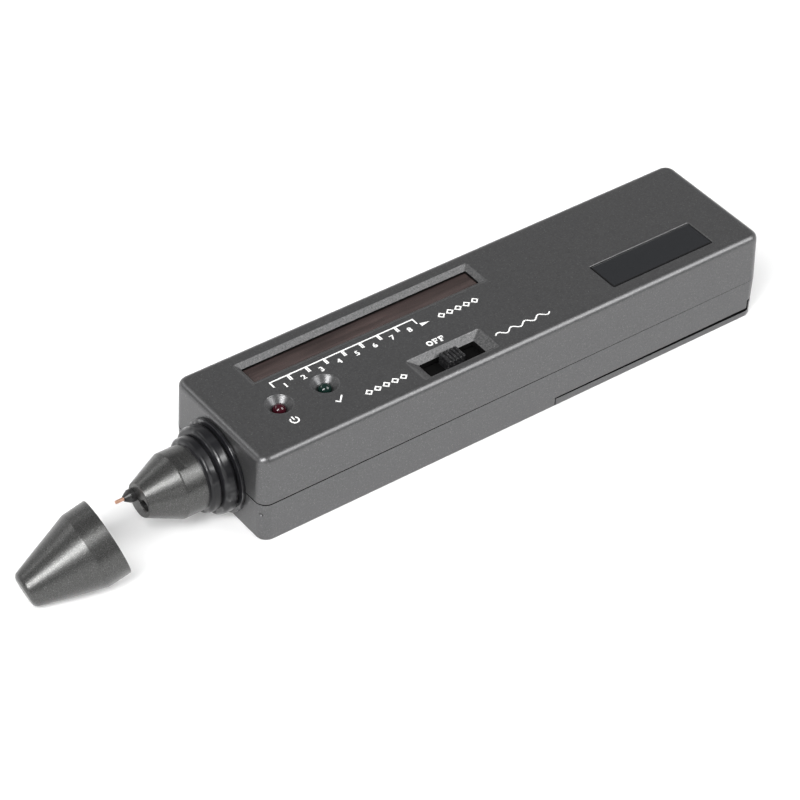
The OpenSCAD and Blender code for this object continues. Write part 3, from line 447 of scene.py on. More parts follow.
# Small moulding mark low on the near front corner
mark_z = 8.2 * mm
mark_r = 0.7 * mm
mark_turn = math.radians(33)
mark_reach = corner_r - draft + mark_r - 0.2 * mm
cut(lower_shell, added("mark", bpy.ops.mesh.primitive_uv_sphere_add, segments=24, ring_count=12,
    radius=mark_r, location=(case_low.x + corner_r - mark_reach * math.cos(mark_turn),
    case_low.y + corner_r - mark_reach * math.sin(mark_turn), mark_z)))
smooth(lower_shell)


def clouded(nodes, links, place, scale, detail, roughness=0.5):
    """Noise of a scale and detail at a place. Gives its factor."""
    clouds = nodes.new("ShaderNodeTexNoise")
    clouds.inputs["Detail"].default_value = detail
    clouds.inputs["Roughness"].default_value = roughness
    links.new(place, clouds.inputs["Vector"])
    feed(links, clouds.inputs["Scale"], scale)
    return clouds.outputs["Fac"]


# One grain for every moulded piece: a fine relief, a slow mottle in its colour and a few bright flecks
moulded_grain = bpy.data.node_groups.new("moulded_grain", "ShaderNodeTree")
for label in ("Fineness", "Fleck Share"):
    moulded_grain.interface.new_socket(name=label, in_out="INPUT", socket_type="NodeSocketFloat")
for label in ("Relief", "Mottle", "Fleck"):
    moulded_grain.interface.new_socket(name=label, in_out="OUTPUT", socket_type="NodeSocketFloat")
nodes, links = moulded_grain.nodes, moulded_grain.links
asked = nodes.new("NodeGroupInput").outputs
given = nodes.new("NodeGroupOutput").inputs
place = placed(nodes)
links.new(clouded(nodes, links, place, asked["Fineness"], 3), given["Relief"])
slower = reckon(nodes, links, "MULTIPLY", asked["Fineness"], 0.35)
links.new(ranged(nodes, links, clouded(nodes, links, place, slower, 5, 0.65), 0.3, 0.7), given["Mottle"])
cells = nodes.new("ShaderNodeTexVoronoi")
links.new(place, cells.inputs["Vector"])
links.new(asked["Fineness"], cells.inputs["Scale"])
parted = nodes.new("ShaderNodeSeparateColor")
links.new(cells.outputs["Color"], parted.inputs["Color"])
flecked = reckon(nodes, links, "LESS_THAN", parted.outputs["Red"], asked["Fleck Share"])
links.new(flecked, given["Fleck"])


def blank(name, roughness, metallic=0.0):
    """A new material with its plain values set. Gives it, its nodes, its links and its shader."""
    material = bpy.data.materials.new(name)
    material.use_nodes = True
    shader = material.node_tree.nodes["Principled BSDF"]
    shader.inputs["Roughness"].default_value = roughness
    shader.inputs["Metallic"].default_value = metallic
    return material, material.node_tree.nodes, material.node_tree.links, shader


def two_tone(nodes, links, factor, first, second):
    """A node that goes from one colour to another by a factor, which it gives as a colour."""
    mixed = nodes.new("ShaderNodeMix")
    mixed.data_type = "RGBA"
    for socket, colour in ((mixed.inputs[6], first), (mixed.inputs[7], second)):
        feed(links, socket, colour if isinstance(colour, bpy.types.NodeSocket) else (*colour, 1))
    links.new(factor, mixed.inputs[0])
    return mixed.outputs[2]


def bump(nodes, links, height, depth, shader):
    """A relief of that depth, in metres, on the shader's normal."""
    relief = nodes.new("ShaderNodeBump")
    relief.inputs["Distance"].default_value = depth
    links.new(height, relief.inputs["Height"])
    links.new(relief.outputs["Normal"], shader.inputs["Normal"])


def moulded(name, dark, light, fleck, roughness, metallic=0.0, fineness=2400, fleck_share=0.04,
        depth=0.01 * mm):
    """A moulded plastic with the grain: its colour wanders between two shades, with flecks of a third."""
    material, nodes, links, shader = blank(name, roughness, metallic)
    grain = nodes.new("ShaderNodeGroup")
    grain.node_tree = moulded_grain
    grain.inputs["Fineness"].default_value = fineness
    grain.inputs["Fleck Share"].default_value = fleck_share
    ground = two_tone(nodes, links, grain.outputs["Mottle"], dark, light)
    links.new(two_tone(nodes, links, grain.outputs["Fleck"], ground, fleck), shader.inputs["Base Color"])
    uneven = ranged(nodes, links, grain.outputs["Mottle"], 0, 1, roughness - 0.05, roughness + 0.05)
    links.new(uneven, shader.inputs["Roughness"])
    bump(nodes, links, grain.outputs["Relief"], depth, shader)
    return material


def noise(nodes, links, scale, detail=3, stretch=(1, 1, 1)):
    """Noise on the piece's own coordinates, stretched along its axes. Gives its factor."""
    stretched = nodes.new("ShaderNodeMapping")
    stretched.inputs["Scale"].default_value = stretch
    links.new(placed(nodes), stretched.inputs["Vector"])
    return clouded(nodes, links, stretched.outputs["Vector"], scale, detail)


def finish(name, dark, light, roughness, metallic=0.0, scale=900, depth=0.004 * mm, stretch=(1, 1, 1)):
    """A plain finish whose colour and relief wander a little, such as lacquer, bare metal or rubber."""
    material, nodes, links, shader = blank(name, roughness, metallic)
    clouds = noise(nodes, links, scale, 4, stretch)
    links.new(two_tone(nodes, links, clouds, dark, light), shader.inputs["Base Color"])
    bump(nodes, links, clouds, depth, shader)
    return material


def painted(piece, *materials, by=None):
    """Gives a piece its materials. A test of a face's centre and direction may say which one it takes."""
    for material in materials:
        piece.data.materials.append(material)
    for face in piece.data.polygons if by else ():
        face.material_index = int(by(face.center, face.normal))


case_plastic = moulded("case_plastic", (0.100, 0.100, 0.102), (0.138, 0.138, 0.140), (0.19, 0.19, 0.19),
    0.35, 0.75, 6500, 0.03, 0.009 * mm)
# A matt black that is painted shade, put on seams, gaps, pit walls and the knob's shield where shadow falls.
painted_shade_black = finish("painted_shade_black", (0.002, 0.002, 0.002), (0.005, 0.005, 0.005), 0.8, 0, 2500, 0.006 * mm)
painted_shade_black.node_tree.nodes["Principled BSDF"].inputs["Specular IOR Level"].default_value = 0.08


def in_joint(at, facing):
    """Faces that take the painted shade: the seam below the rim, and the edges of the door's opening."""
    in_seam = part_z - seam_h - hair < at.z < part_z + hair
    under_wall = facing.z < -0.9 and abs(at.z - door_lip_z - door_gap) < hair
    door_edge = facing.x > 0.9 and at.x > door_step_x - 2 * mm and at.z < door_high.z + door_gap + hair
    return in_seam or under_wall or door_edge


painted(lower_shell, case_plastic, painted_shade_black, by=in_joint)
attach(lower_shell, "housing")
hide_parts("lower_shell")

# Main board and its small parts
# A green laminate with chips, trimmers, capacitors and a buzzer hung below it and resistors on top. Four
# screws hold it to the posts of the lower shell, and the battery's leads are soldered to its rear edge.


def dress(material, *names):
    """Gives a carried-over CAD node its material."""
    for name in names:
        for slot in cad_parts[name].material_slots:
            slot.material = material


def circuit_board():
    """Green lacquer over copper tracks, which show as paler bands."""
    material, nodes, links, shader = blank("circuit_board", 0.35)
    tracks = nodes.new("ShaderNodeTexBrick")
    tracks.inputs["Scale"].default_value = 180
    tracks.inputs["Mortar Size"].default_value = 0.06
    tracks.inputs["Color1"].default_value = (0.01, 0.10, 0.04, 1)
    tracks.inputs["Color2"].default_value = (0.012, 0.12, 0.05, 1)
    tracks.inputs["Mortar"].default_value = (0.03, 0.22, 0.09, 1)
    links.new(placed(nodes), tracks.inputs["Vector"])
    links.new(tracks.outputs["Color"], shader.inputs["Base Color"])
    bump(nodes, links, tracks.outputs["Fac"], -0.03 * mm, shader)
    return material


def banded_resistor():
    """Tan lacquer with colour bands round each body, which lies along Y."""
    material, nodes, links, shader = blank("banded_resistor", 0.4)
    bands = nodes.new("ShaderNodeTexWave")
    bands.bands_direction = "Y"
    bands.inputs["Scale"].default_value = 220
    bands.inputs["Distortion"].default_value = 0.3
    links.new(placed(nodes), bands.inputs["Vector"])
    sharp = reckon(nodes, links, "GREATER_THAN", bands.outputs["Fac"], 0.8)
    banded = two_tone(nodes, links, sharp, (0.6, 0.42, 0.22), (0.22, 0.05, 0.02))
    links.new(banded, shader.inputs["Base Color"])
    return material


black_plastic = moulded("black_plastic", (0.012, 0.012, 0.013), (0.022, 0.022, 0.023),
    (0.05, 0.05, 0.05), 0.45)
steel = finish("zinc_steel", (0.42, 0.42, 0.43), (0.62, 0.62, 0.63), 0.28, 1.0, 1500, 0.003 * mm)
dress(circuit_board(), "main_board")
dress(finish("chip_epoxy", (0.012, 0.012, 0.012), (0.03, 0.03, 0.03), 0.5, 0, 3000),
    "main_chip", "small_chips", "regulator", "buzzer")
dress(banded_resistor(), "resistors")
dress(finish("capacitor_sleeve", (0.008, 0.015, 0.06), (0.02, 0.03, 0.10), 0.25), "capacitors")
dress(finish("trimmer_plastic", (0.02, 0.08, 0.34), (0.03, 0.10, 0.42), 0.3), "trimmers")
dress(steel, "board_screws", "case_screws")
dress(finish("red_lead", (0.36, 0.015, 0.015), (0.5, 0.03, 0.03), 0.45), "battery_leads")
dress(finish("grey_lead", (0.4, 0.4, 0.38), (0.52, 0.52, 0.5), 0.45), "probe_leads")
dress(finish("black_lead", (0.015, 0.015, 0.015), (0.03, 0.03, 0.03), 0.45), "nose_lamp_leads")

# Scale lamps
# Twelve flat red lamps side by side in a black light baffle on the board, right under the dark window.
# Black spacers on the board carry the two round lamps.
dress(finish("scale_lamp_resin", (0.35, 0.015, 0.012), (0.48, 0.03, 0.02), 0.3), "scale_lamps")
dress(black_plastic, "lamp_baffle", "lamp_spacers")

# Round lamps
# Two 5 mm lamps, red for power and green for ready, cast in tinted resin over a steel lead frame with a
# small cup. They stand on black spacers on the board, with their domes in the recesses of the top.


def rounded(corners, steps=5):
    """Outline points, in which a corner that names a radius becomes an arc of that radius."""
    points = []
    for i, corner in enumerate(corners):
        if len(corner) == 2:
            points.append(tuple(corner))
            continue
        here = Vector(corner[:2])
        back = (Vector(corners[i - 1][:2]) - here).normalized()
        ahead = (Vector(corners[i + 1][:2]) - here).normalized()
        half = back.angle(ahead) / 2
        middle = here + (back + ahead).normalized() * corner[2] / math.sin(half)
        start = here + back * corner[2] / math.tan(half) - middle
        end = here + ahead * corner[2] / math.tan(half) - middle
        for k in range(steps + 1):
            points.append(tuple(middle + start.slerp(end, k / steps).normalized() * corner[2]))
    return points


def turned(name, foot, profile, axis=(-1, 0, 0), sides=96):
    """A turned piece: each point of its profile is how far it lies along the axis, and its radius."""
    foot, axis = Vector(foot), Vector(axis)
    aside = Vector((0, 0, 1)) if abs(axis.z) < 0.5 else Vector((1, 0, 0))
    spots = [foot + axis * along + aside * radius for along, radius in profile]
    piece = added(name, bpy.ops.mesh.primitive_plane_add, size=mm, location=spots[0])
    edit(piece)
    bpy.ops.mesh.select_all(action="SELECT")
    bpy.ops.mesh.merge(type="CENTER")
    for here, there in zip(spots, spots[1:]):
        bpy.ops.mesh.extrude_region_move(TRANSFORM_OT_translate={"value": there - here})
    bpy.ops.mesh.select_all(action="SELECT")
    bpy.ops.mesh.spin(steps=sides, angle=2 * math.pi, center=foot, axis=axis)
    leave(piece)
    return piece


def dome_profile(radius, flange_r, flange_t, tall, shoulder=(), steps=10):
    """From the foot to the crown of a round lamp, whose dome may stand on the shoulder of a wider body."""
    crown = [(tall - radius + radius * math.sin(a), radius * math.cos(a))
        for a in [math.pi / 2 * k / steps for k in range(1, steps)]]
    first_r = shoulder[0][1] if shoulder else radius
    body = rounded([(0, 0), (0, flange_r, 0.08 * mm), (flange_t, flange_r, 0.08 * mm), (flange_t, first_r),
        *shoulder, (tall - radius, radius)])
    return body + crown + [(tall, 0)]


def lamp_resin(name, dark, light, see_through):
    """Clear cast resin with a tint, smooth enough to mirror the lights."""
    material, nodes, links, shader = blank(name, 0.1)
    shader.inputs["Transmission Weight"].default_value = see_through
    shader.inputs["IOR"].default_value = 1.52
    links.new(two_tone(nodes, links, noise(nodes, links, 500), dark, light), shader.inputs["Base Color"])
    return material


lamp_r = 2.5 * mm
lamp_flange_r = 2.9 * mm
lamp_flange_t = 1 * mm
dome_r = 1.62 * mm
dome_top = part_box("power_lamp")[1].z + 0.55 * mm
dome_foot = case_high.z - wall - 0.5 * mm
red_resin = lamp_resin("red_resin", (0.036, 0.002, 0.007), (0.066, 0.004, 0.012), 0.35)
green_resin = lamp_resin("green_resin", (0.004, 0.018, 0.014), (0.007, 0.032, 0.025), 0.35)
lamps = (("power_lamp", "lamp_red", red_resin), ("ready_lamp", "lamp_green", green_resin))
for node, body_slot, resin in lamps:
    low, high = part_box(node)
    lamp_x, lamp_y = (low.x + high.x) / 2, (low.y + high.y) / 2
    lamp = turned(node + "_dome", (lamp_x, lamp_y, low.z), dome_profile(dome_r, lamp_flange_r, lamp_flange_t,
        dome_top - low.z, [(dome_foot - low.z, lamp_r, 0.2 * mm), (dome_foot - low.z, dome_r)]),
        (0, 0, 1), 64)
    smooth(lamp, 40)
    painted(lamp, resin)
    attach(lamp, "housing")
    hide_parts(node)

# Mode switch
# A slide switch in a steel can on the board, and its black knob. The knob's shield closes the slot from
# inside, its stem sits in the switch, and five cross ribs give the thumb a grip.
dress(steel, "mode_switch")
knob_low, knob_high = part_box("switch_knob")
switch_x = (knob_low.x + knob_high.x) / 2
switch_y = (knob_low.y + knob_high.y) / 2
shield_l, shield_w = knob_high.x - knob_low.x, knob_high.y - knob_low.y
shield_t = 0.8 * mm
shield_z = 20.8 * mm
knob_l, knob_w = 4.9 * mm, 4.2 * mm
rib_count = 5
rib_pitch = knob_l / rib_count
groove_r = 0.26 * mm
knob = lofted("switch_knob_piece", (switch_x, switch_y), (knob_l, knob_w), 0.4 * mm,
    rounded([(shield_z + 0.4 * mm, 0), (knob_high.z, 0, 0.2 * mm), (knob_high.z, -1 * mm)])[:-1])
for i in range(1, rib_count):
    bpy.ops.object.select_all(action="DESELECT")
    groove_x = switch_x + (i - rib_count / 2) * rib_pitch
    bpy.ops.mesh.primitive_cylinder_add(vertices=24, radius=groove_r, depth=2 * knob_w,
        rotation=(math.pi / 2, 0, 0), location=(groove_x, switch_y, knob_high.z))
    bpy.context.object.scale = (1, 1.7, 1)
    cut(knob, settle(bpy.context.object))
weld(knob, lofted("shield", (switch_x, switch_y), (shield_l, shield_w), 0.5 * mm,
    rounded([(shield_z, 0), (shield_z + shield_t, 0, 0.1 * mm), (shield_z + shield_t, -1 * mm)])[:-1]))
weld(knob, block("stem", (switch_x - 1.3 * mm, switch_y - 1 * mm, knob_low.z),
    (switch_x + 1.3 * mm, switch_y + 1 * mm, shield_z + 0.1 * mm)))
smooth(knob, 35)
knob_plastic = moulded("knob_plastic", (0.006, 0.006, 0.007), (0.020, 0.020, 0.021), (0.08, 0.08, 0.08), 0.38,
    0.2, 4200, 0.1, 0.06 * mm)
# The shield under the slot takes the painted shade, a matt black deeper than the knob's own black plastic,
# for the shadow in the slot.
painted(knob, knob_plastic, painted_shade_black, by=lambda at, facing: at.z < shield_z + shield_t + hair)
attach(knob, "knob")
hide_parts("switch_knob")

# Battery and its snap
# A 9 V block in a lacquered steel jacket, lying on the ribs of the door. A black snap grips its two
# terminals, and a foam pad under the top wall keeps it from rattling.


def battery_jacket():
    """Dark blue lacquer with a paler band at the terminal end and bare metal ends."""
    material, nodes, links, shader = blank("battery_jacket", 0.32, 0.4)
    along = nodes.new("ShaderNodeSeparateXYZ")
    links.new(placed(nodes), along.inputs["Vector"])
    edges = [battery_high.x - back for back in (48 * mm, 38 * mm, 0.5 * mm)]
    masks = [reckon(nodes, links, "GREATER_THAN", along.outputs["X"], edge) for edge in edges]
    band = two_tone(nodes, links, masks[0], (0.55, 0.53, 0.5), (0.42, 0.36, 0.22))
    jacket = two_tone(nodes, links, masks[1], band, (0.02, 0.035, 0.10))
    links.new(two_tone(nodes, links, masks[2], jacket, (0.5, 0.5, 0.5)), shader.inputs["Base Color"])
    bump(nodes, links, noise(nodes, links, 700), 0.01 * mm, shader)
    return material


dress(battery_jacket(), "battery")
dress(black_plastic, "battery_snap")
pad_low, pad_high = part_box("battery_pad")
pad_round = 0.6 * mm
pad_size = (pad_high.x - pad_low.x - 2 * pad_round, pad_high.y - pad_low.y - 2 * pad_round)
pad = lofted("battery_pad_foam", ((pad_low.x + pad_high.x) / 2, 0), pad_size, 1.4 * mm, rounded([
    (pad_low.z, 0), (pad_low.z, pad_round, 0.5 * mm), (pad_high.z, pad_round, 0.5 * mm), (pad_high.z, 0)]))
smooth(pad, 60)
foam, nodes, links, shader = blank("foam", 0.95)
cells = nodes.new("ShaderNodeTexVoronoi")
cells.inputs["Scale"].default_value = 2600
links.new(placed(nodes), cells.inputs["Vector"])
foamed = two_tone(nodes, links, cells.outputs["Distance"], (0.008, 0.008, 0.009), (0.035, 0.035, 0.038))
links.new(foamed, shader.inputs["Base Color"])
bump(nodes, links, cells.outputs["Distance"], 0.08 * mm, shader)
painted(pad, foam)
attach(pad, "housing")
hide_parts("battery_pad")

# Upper shell
# The top half of the case in the same grey plastic. It is one moulding with the long bevelled recess of
# the window, two round recesses for the lamps, the bevelled slot of the switch and a pocket for the plate.
lens_low, lens_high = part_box("window_lens")
plate_low, plate_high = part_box("label_plate")
lens_lip = 1.2 * mm
window_bevel = 1.45 * mm
slot_l, slot_w = 16 * mm, 4.8 * mm
slot_bevel = 1.65 * mm
slot_end_bevel = 2.9 * mm
slot_bevel_depth = 1.5 * mm
slot_pad_z = case_high.z - slot_bevel_depth - 1.4 * mm
window_centre = ((lens_low.x + lens_high.x) / 2, (lens_low.y + lens_high.y) / 2)
lens_l = lens_high.x - lens_low.x - 2 * lens_lip
lens_w = lens_high.y - lens_low.y - 2 * lens_lip
lip_r = 0.3 * mm
recess_r = 3.3 * mm
recess_step = 0.16 * mm
recess_rim_r = dome_r + 0.06 * mm
recess_rim_z = inner_top + 0.08 * mm
window_foot_z = lens_high.z + 0.25 * mm
switch_pit_centre = (switch_x - 0.05 * mm, switch_y - 0.15 * mm)


def pit_levels(floor_z, bevel, deep_z):
    """From below the top wall up to a bevel whose upper edge is rounded over."""
    top = case_high.z + hair
    outline = rounded([(deep_z, 0), (floor_z, 0), (top, bevel, lip_r), (top, bevel + 4 * lip_r)])[:-1]
    return outline + [(top + past, outline[-1][1])]


upper_shell = halves(case_form("upper_shell_piece"), above=True)
cut(upper_shell, cavity())
rim_size = (2 * inner_x + 2 * tongue_t + 2 * joint_gap, 2 * inner_y + 2 * tongue_t + 2 * joint_gap)
cut(upper_shell, lofted("rim_way", (0, 0), rim_size, inner_r + tongue_t,
    [(part_z - past, 0), (rim_z + joint_gap, 0)]))
pad_x, pad_y = slot_l / 2 + 3 * mm, slot_w / 2 + 1.3 * mm
weld(upper_shell, block("slot_pad", (switch_x - pad_x, switch_y - pad_y, slot_pad_z),
    (switch_x + pad_x, switch_y + pad_y, inner_top + weld_in)))
for x, y in screw_spots:
    reach = 15.5 * mm if x < 0 else 17 * mm
    weld(upper_shell, post("screw_post", x, y, case_post_r, part_z + joint_gap, inner_top + weld_in))
    cut(upper_shell, post("screw_hole", x, y, screw_pilot_r, part_z - past, reach))
cut(upper_shell, lofted("window_pit", window_centre, (lens_l, lens_w), 0.4 * mm,
    pit_levels(window_foot_z, window_bevel, inner_top - past)))
slot_foot_z = case_high.z - slot_bevel_depth
cut(upper_shell, lofted("switch_pit", switch_pit_centre, (slot_l, slot_w), 0.4 * mm,
    pit_levels(slot_foot_z, slot_bevel, slot_pad_z - past), (slot_end_bevel / slot_bevel, 1)))
for node in ("power_lamp", "ready_lamp"):
    low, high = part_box(node)
    foot = ((low.x + high.x) / 2, (low.y + high.y) / 2, 0)
    top, step_z = case_high.z + hair, case_high.z - recess_step
    outline = rounded([(inner_top - past, 0), (inner_top - past, recess_rim_r), (recess_rim_z, recess_rim_r),
        (step_z, recess_r - 0.12 * mm), (step_z, recess_r), (top, recess_r + 0.16 * mm, 0.2 * mm),
        (top, recess_r + past)], 3)[:-1]
    outline += [(top + past, outline[-1][1]), (top + past, 0)]
    cut(upper_shell, turned("recess", foot, outline, (0, 0, 1), 64))
plate_grow = 0.2 * mm
plate_size = (plate_high.x - plate_low.x + 2 * plate_grow, plate_high.y - plate_low.y + 2 * plate_grow)
pocket_lip = 0.08 * mm
plate_centre = ((plate_low.x + plate_high.x) / 2, (plate_low.y + plate_high.y) / 2)
pocket_size = (plate_size[0] + 2 * joint_gap, plate_size[1] + 2 * joint_gap)
cut(upper_shell, lofted("plate_pocket", plate_centre, pocket_size, 0.45 * mm, [(plate_low.z, 0),
    (case_high.z - pocket_lip, 0), (case_high.z + hair, pocket_lip), (case_high.z + past, pocket_lip)]))
cut(upper_shell, rod("nose_bore", case_low.x - past, nose_bore_end, 0, nose_z, spigot_bore_r))
smooth(upper_shell)
recess_plastic = moulded("recess_plastic", (0.06, 0.06, 0.061), (0.17, 0.17, 0.172), (0.22, 0.22, 0.22),
    0.5, 0.7, 6500, 0.03, 0.022 * mm)
pits = ((window_centre, (lens_l, lens_w), (window_bevel, window_bevel), window_foot_z),
    (switch_pit_centre, (slot_l, slot_w), (slot_end_bevel, slot_bevel), slot_foot_z))


def in_pit(at, facing):
    """Painted shade in matt black on a pit's walls below its bevel, the recesses' plastic on its bevel, and
    the case's everywhere else.
    """
    for middle, size, bevel, foot in pits:
        within = all(abs(at[i] - middle[i]) < size[i] / 2 + bevel[i] - lip_r for i in (0, 1))
        if within and at.z < case_high.z - hair:
            return 1 if inner_top - 2 * mm < at.z < foot - hair else 2
    return 0


painted(upper_shell, case_plastic, painted_shade_black, recess_plastic, by=in_pit)
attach(upper_shell, "housing")
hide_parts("upper_shell")

# Window lens
# A strip of dark red see-through plastic with polished faces. It lies under the top wall on a flange that
# is welded in, and its middle stands up into the opening.
lens_top = lens_high.z - 0.2 * mm
lens = lofted("window_lens_piece", window_centre, (lens_l, lens_w), 0.4 * mm, rounded([(lens_low.z, 0),
    (lens_low.z, lens_lip), (inner_top, lens_lip), (inner_top, -joint_gap),
    (lens_top, -joint_gap, 0.15 * mm), (lens_top, -1 * mm)], 3)[:-1])
smooth(lens, 30)
lens_tint_and_shade, nodes, links, shader = blank("lens_tint_and_shade", 0.08)
shader.inputs["Transmission Weight"].default_value = 0.5
shader.inputs["IOR"].default_value = 1.49
# Painted shade: the lens's colour goes from near black at its far edge, under the wall, to a lighter tone at
# its near edge, streaked along its length.
across = nodes.new("ShaderNodeSeparateXYZ")
links.new(placed(nodes), across.inputs["Vector"])
far_y, near_y = window_centre[1] + lens_w / 2, window_centre[1] - lens_w / 2
streaks = noise(nodes, links, 60, 2, (1, 13, 1))
far_shade_tone = two_tone(nodes, links, streaks, (0, 0, 0), (0.095, 0.062, 0.058))
near_light_tone = two_tone(nodes, links, streaks, (0.02, 0.014, 0.013), (0.25, 0.185, 0.175))
shade_ramp = ranged(nodes, links, across.outputs["Y"], far_y, near_y)
links.new(two_tone(nodes, links, shade_ramp, far_shade_tone, near_light_tone), shader.inputs["Base Color"])
painted(lens, lens_tint_and_shade)
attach(lens, "housing")
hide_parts("window_lens")

# Label plate
# A bare near-black film with a thin border of deeper black. It lies flush in a shallow pocket at the
# rear of the top.
plate = lofted("label_plate_piece", plate_centre, plate_size, 0.35 * mm, rounded([(plate_low.z, 0),
    (plate_high.z, 0, 0.08 * mm), (plate_high.z, -1 * mm)], 2)[:-1])
border_w = 0.28 * mm
edit(plate)
pick(plate, "FACE", lambda corners: all(abs(c.z - plate_high.z) < hair for c in corners))
bpy.ops.mesh.inset(thickness=border_w, depth=0)
bpy.ops.mesh.inset(thickness=0.04 * mm, depth=-0.05 * mm)
leave(plate)
smooth(plate, 25)
plate_film = finish("plate_film", (0.011, 0.012, 0.0135), (0.018, 0.019, 0.0215), 0.22, 0, 1800, 0.002 * mm)
plate_edge = finish("plate_edge", (0.003, 0.003, 0.003), (0.006, 0.006, 0.006), 0.5)
plate_edge.node_tree.nodes["Principled BSDF"].inputs["Specular IOR Level"].default_value = 0.2


def on_border(at, facing):
    """The band round the plate's top, and its sides."""
    inside = all(abs(at[i] - plate_centre[i]) < plate_size[i] / 2 - border_w / 2 - 0.1 * mm for i in (0, 1))
    return not inside and at.z >= plate_high.z - 0.2 * mm


painted(plate, plate_film, plate_edge, by=on_border)
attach(plate, "housing")
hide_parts("label_plate")

# Printed scale
# Pad-printed white ink on the top: nine joints of the scale with numbers between them, an arrow, the
# switch's OFF, and plain signs beside the lamps and at the ends of the switch.
ink_t = 0.03 * mm
ink_z = case_high.z
ink = finish("white_ink", (0.85, 0.85, 0.84), (0.95, 0.95, 0.94), 0.5, 0, 2500, 0.006 * mm)
prints = []


def stroke(points, width, closed=False):
    """A printed line through points, mitred at its corners."""
    count = len(points)
    rows = count if closed else count - 1
    line = added("line", bpy.ops.mesh.primitive_grid_add, x_subdivisions=rows, y_subdivisions=1, size=1)
    for corner in line.data.vertices:
        k = round((corner.co.x + 0.5) * rows)
        side = 1 if corner.co.y > 0 else -1
        here = Vector(points[k % count])
        back = Vector(points[(k - 1) % count]) if closed or k else 2 * here - Vector(points[1])
        ahead = Vector(points[(k + 1) % count]) if closed or k < rows else 2 * here - Vector(points[k - 1])
        before, after = (here - back).normalized(), (ahead - here).normalized()
        aside = (before + after).normalized().orthogonal()
        reach = side * width / 2 / max(0.3, aside.dot(after.orthogonal()))
        corner.co = (*(here + aside * reach), ink_z)
    edit(line)
    bpy.ops.mesh.select_all(action="SELECT")
    bpy.ops.mesh.remove_doubles(threshold=hair)
    bpy.ops.mesh.extrude_region_move(TRANSFORM_OT_translate={"value": (0, 0, ink_t)})
    leave(line)
    prints.append(line)


def arc_points(centre, radius, start, end, steps):
    """Points on an arc, from one angle to another in degrees."""
    angles = [math.radians(start + (end - start) * k / steps) for k in range(steps + 1)]
    return [(centre[0] + radius * math.cos(a), centre[1] + radius * math.sin(a)) for a in angles]


def figure(number, x, y, height):
    """A printed figure centred on a point, struck twice so that it comes out bold."""
    for shift, lift in ((-0.06 * mm, 0), (0.06 * mm, 0.004 * mm)):
        bpy.ops.object.select_all(action="DESELECT")
        bpy.ops.object.text_add(location=(x + shift, y, ink_z))
        text = bpy.context.object
        text.data.body = str(number)
        text.data.align_x = "CENTER"
        text.data.align_y = "CENTER"
        text.data.size = height / 0.73
        text.data.offset = 0.018 * height
        text.data.extrude = ink_t / 2
        bpy.ops.object.convert(target="MESH")
        text = settle(bpy.context.object)
        text.data.transform(Matrix.Translation((0, 0, ink_t / 2 - lift)))
        edit(text)
        bpy.ops.mesh.select_all(action="SELECT")
        bpy.ops.mesh.remove_doubles(threshold=hair)
        leave(text)
        prints.append(text)


line_w = 0.38 * mm
tick_w = 0.33 * mm
scale_x0 = -56.74 * mm
scale_pitch = 5.08 * mm
scale_y = 3.94 * mm
tick_y = 2.0 * mm
joint_count = 9
twin = 0.225 * mm
joint_shift = -0.17 * mm
scale_end = scale_x0 + scale_pitch * (joint_count - 1)
stroke([(scale_x0, tick_y), (scale_x0, scale_y), (scale_end, scale_y), (scale_end, tick_y)], line_w)
for i in range(1, joint_count - 1):
    for side in (-twin, twin):
        x = scale_x0 + scale_pitch * i + joint_shift + side
        stroke([(x, scale_y - line_w / 2), (x, tick_y)], tick_w)
figure_x0 = -54.1 * mm
figure_y = 1.15 * mm
for i in range(1, joint_count):
    figure(i, figure_x0 + scale_pitch * 0.992 * (i - 1), figure_y, 1.6 * mm)

# Arrow at the end of the scale, as a flat triangle
arrow_x, arrow_y = -14.8, 1.2
arrow = [(arrow_x - 0.8, arrow_y + 0.6), (arrow_x - 0.8, arrow_y - 0.6), (arrow_x + 1.7, arrow_y)]
triangle = post("arrow", 0, 0, 1, ink_z, ink_z + ink_t, 3)
around = sorted(triangle.data.vertices, key=lambda v: (v.co.z, math.atan2(v.co.y, v.co.x)))
spots = sorted(arrow, key=lambda spot: math.atan2(spot[1] - arrow_y, spot[0] - arrow_x))
for k, corner in enumerate(around):
    corner.co.x = spots[k % 3][0] * mm
    corner.co.y = spots[k % 3][1] * mm
prints.append(triangle)


def place_off(x, y, tall, bold):
    """OFF in wide slab letters."""
    ring = [(x + 0.62 * mm * math.cos(a), y + (tall - bold) / 2 * math.sin(a))
        for a in [2 * math.pi * k / 16 for k in range(16)]]
    stroke(ring, bold, closed=True)
    for left in (x + 1.1 * mm, x + 2.75 * mm):
        stem = left + 0.3 * mm
        top, foot = y + tall / 2, y - tall / 2
        thin = 0.75 * bold
        stroke([(stem, foot + thin), (stem, top - thin)], bold)
        stroke([(left, foot + thin / 2), (stem + 0.32 * mm, foot + thin / 2)], thin)
        stroke([(left, top - thin / 2), (left + 1.35 * mm, top - thin / 2)], thin)
        stroke([(stem + bold / 2, y), (left + 1.05 * mm, y)], thin)
        stroke([(left + 1.2 * mm, top - thin), (left + 1.2 * mm, top - 2 * thin)], 0.25 * mm)


place_off(-18.05 * mm, -5.55 * mm, 1.8 * mm, 0.42 * mm)


sign_w = 0.36 * mm


def lozenges(x, y, count, pitch):
    """A row of open lozenges."""
    reach, tall = 0.85 * mm, 0.8 * mm
    for i in range(count):
        at = x + pitch * i
        stroke([(at - reach, y), (at, y + tall), (at + reach, y), (at, y - tall)], sign_w, closed=True)


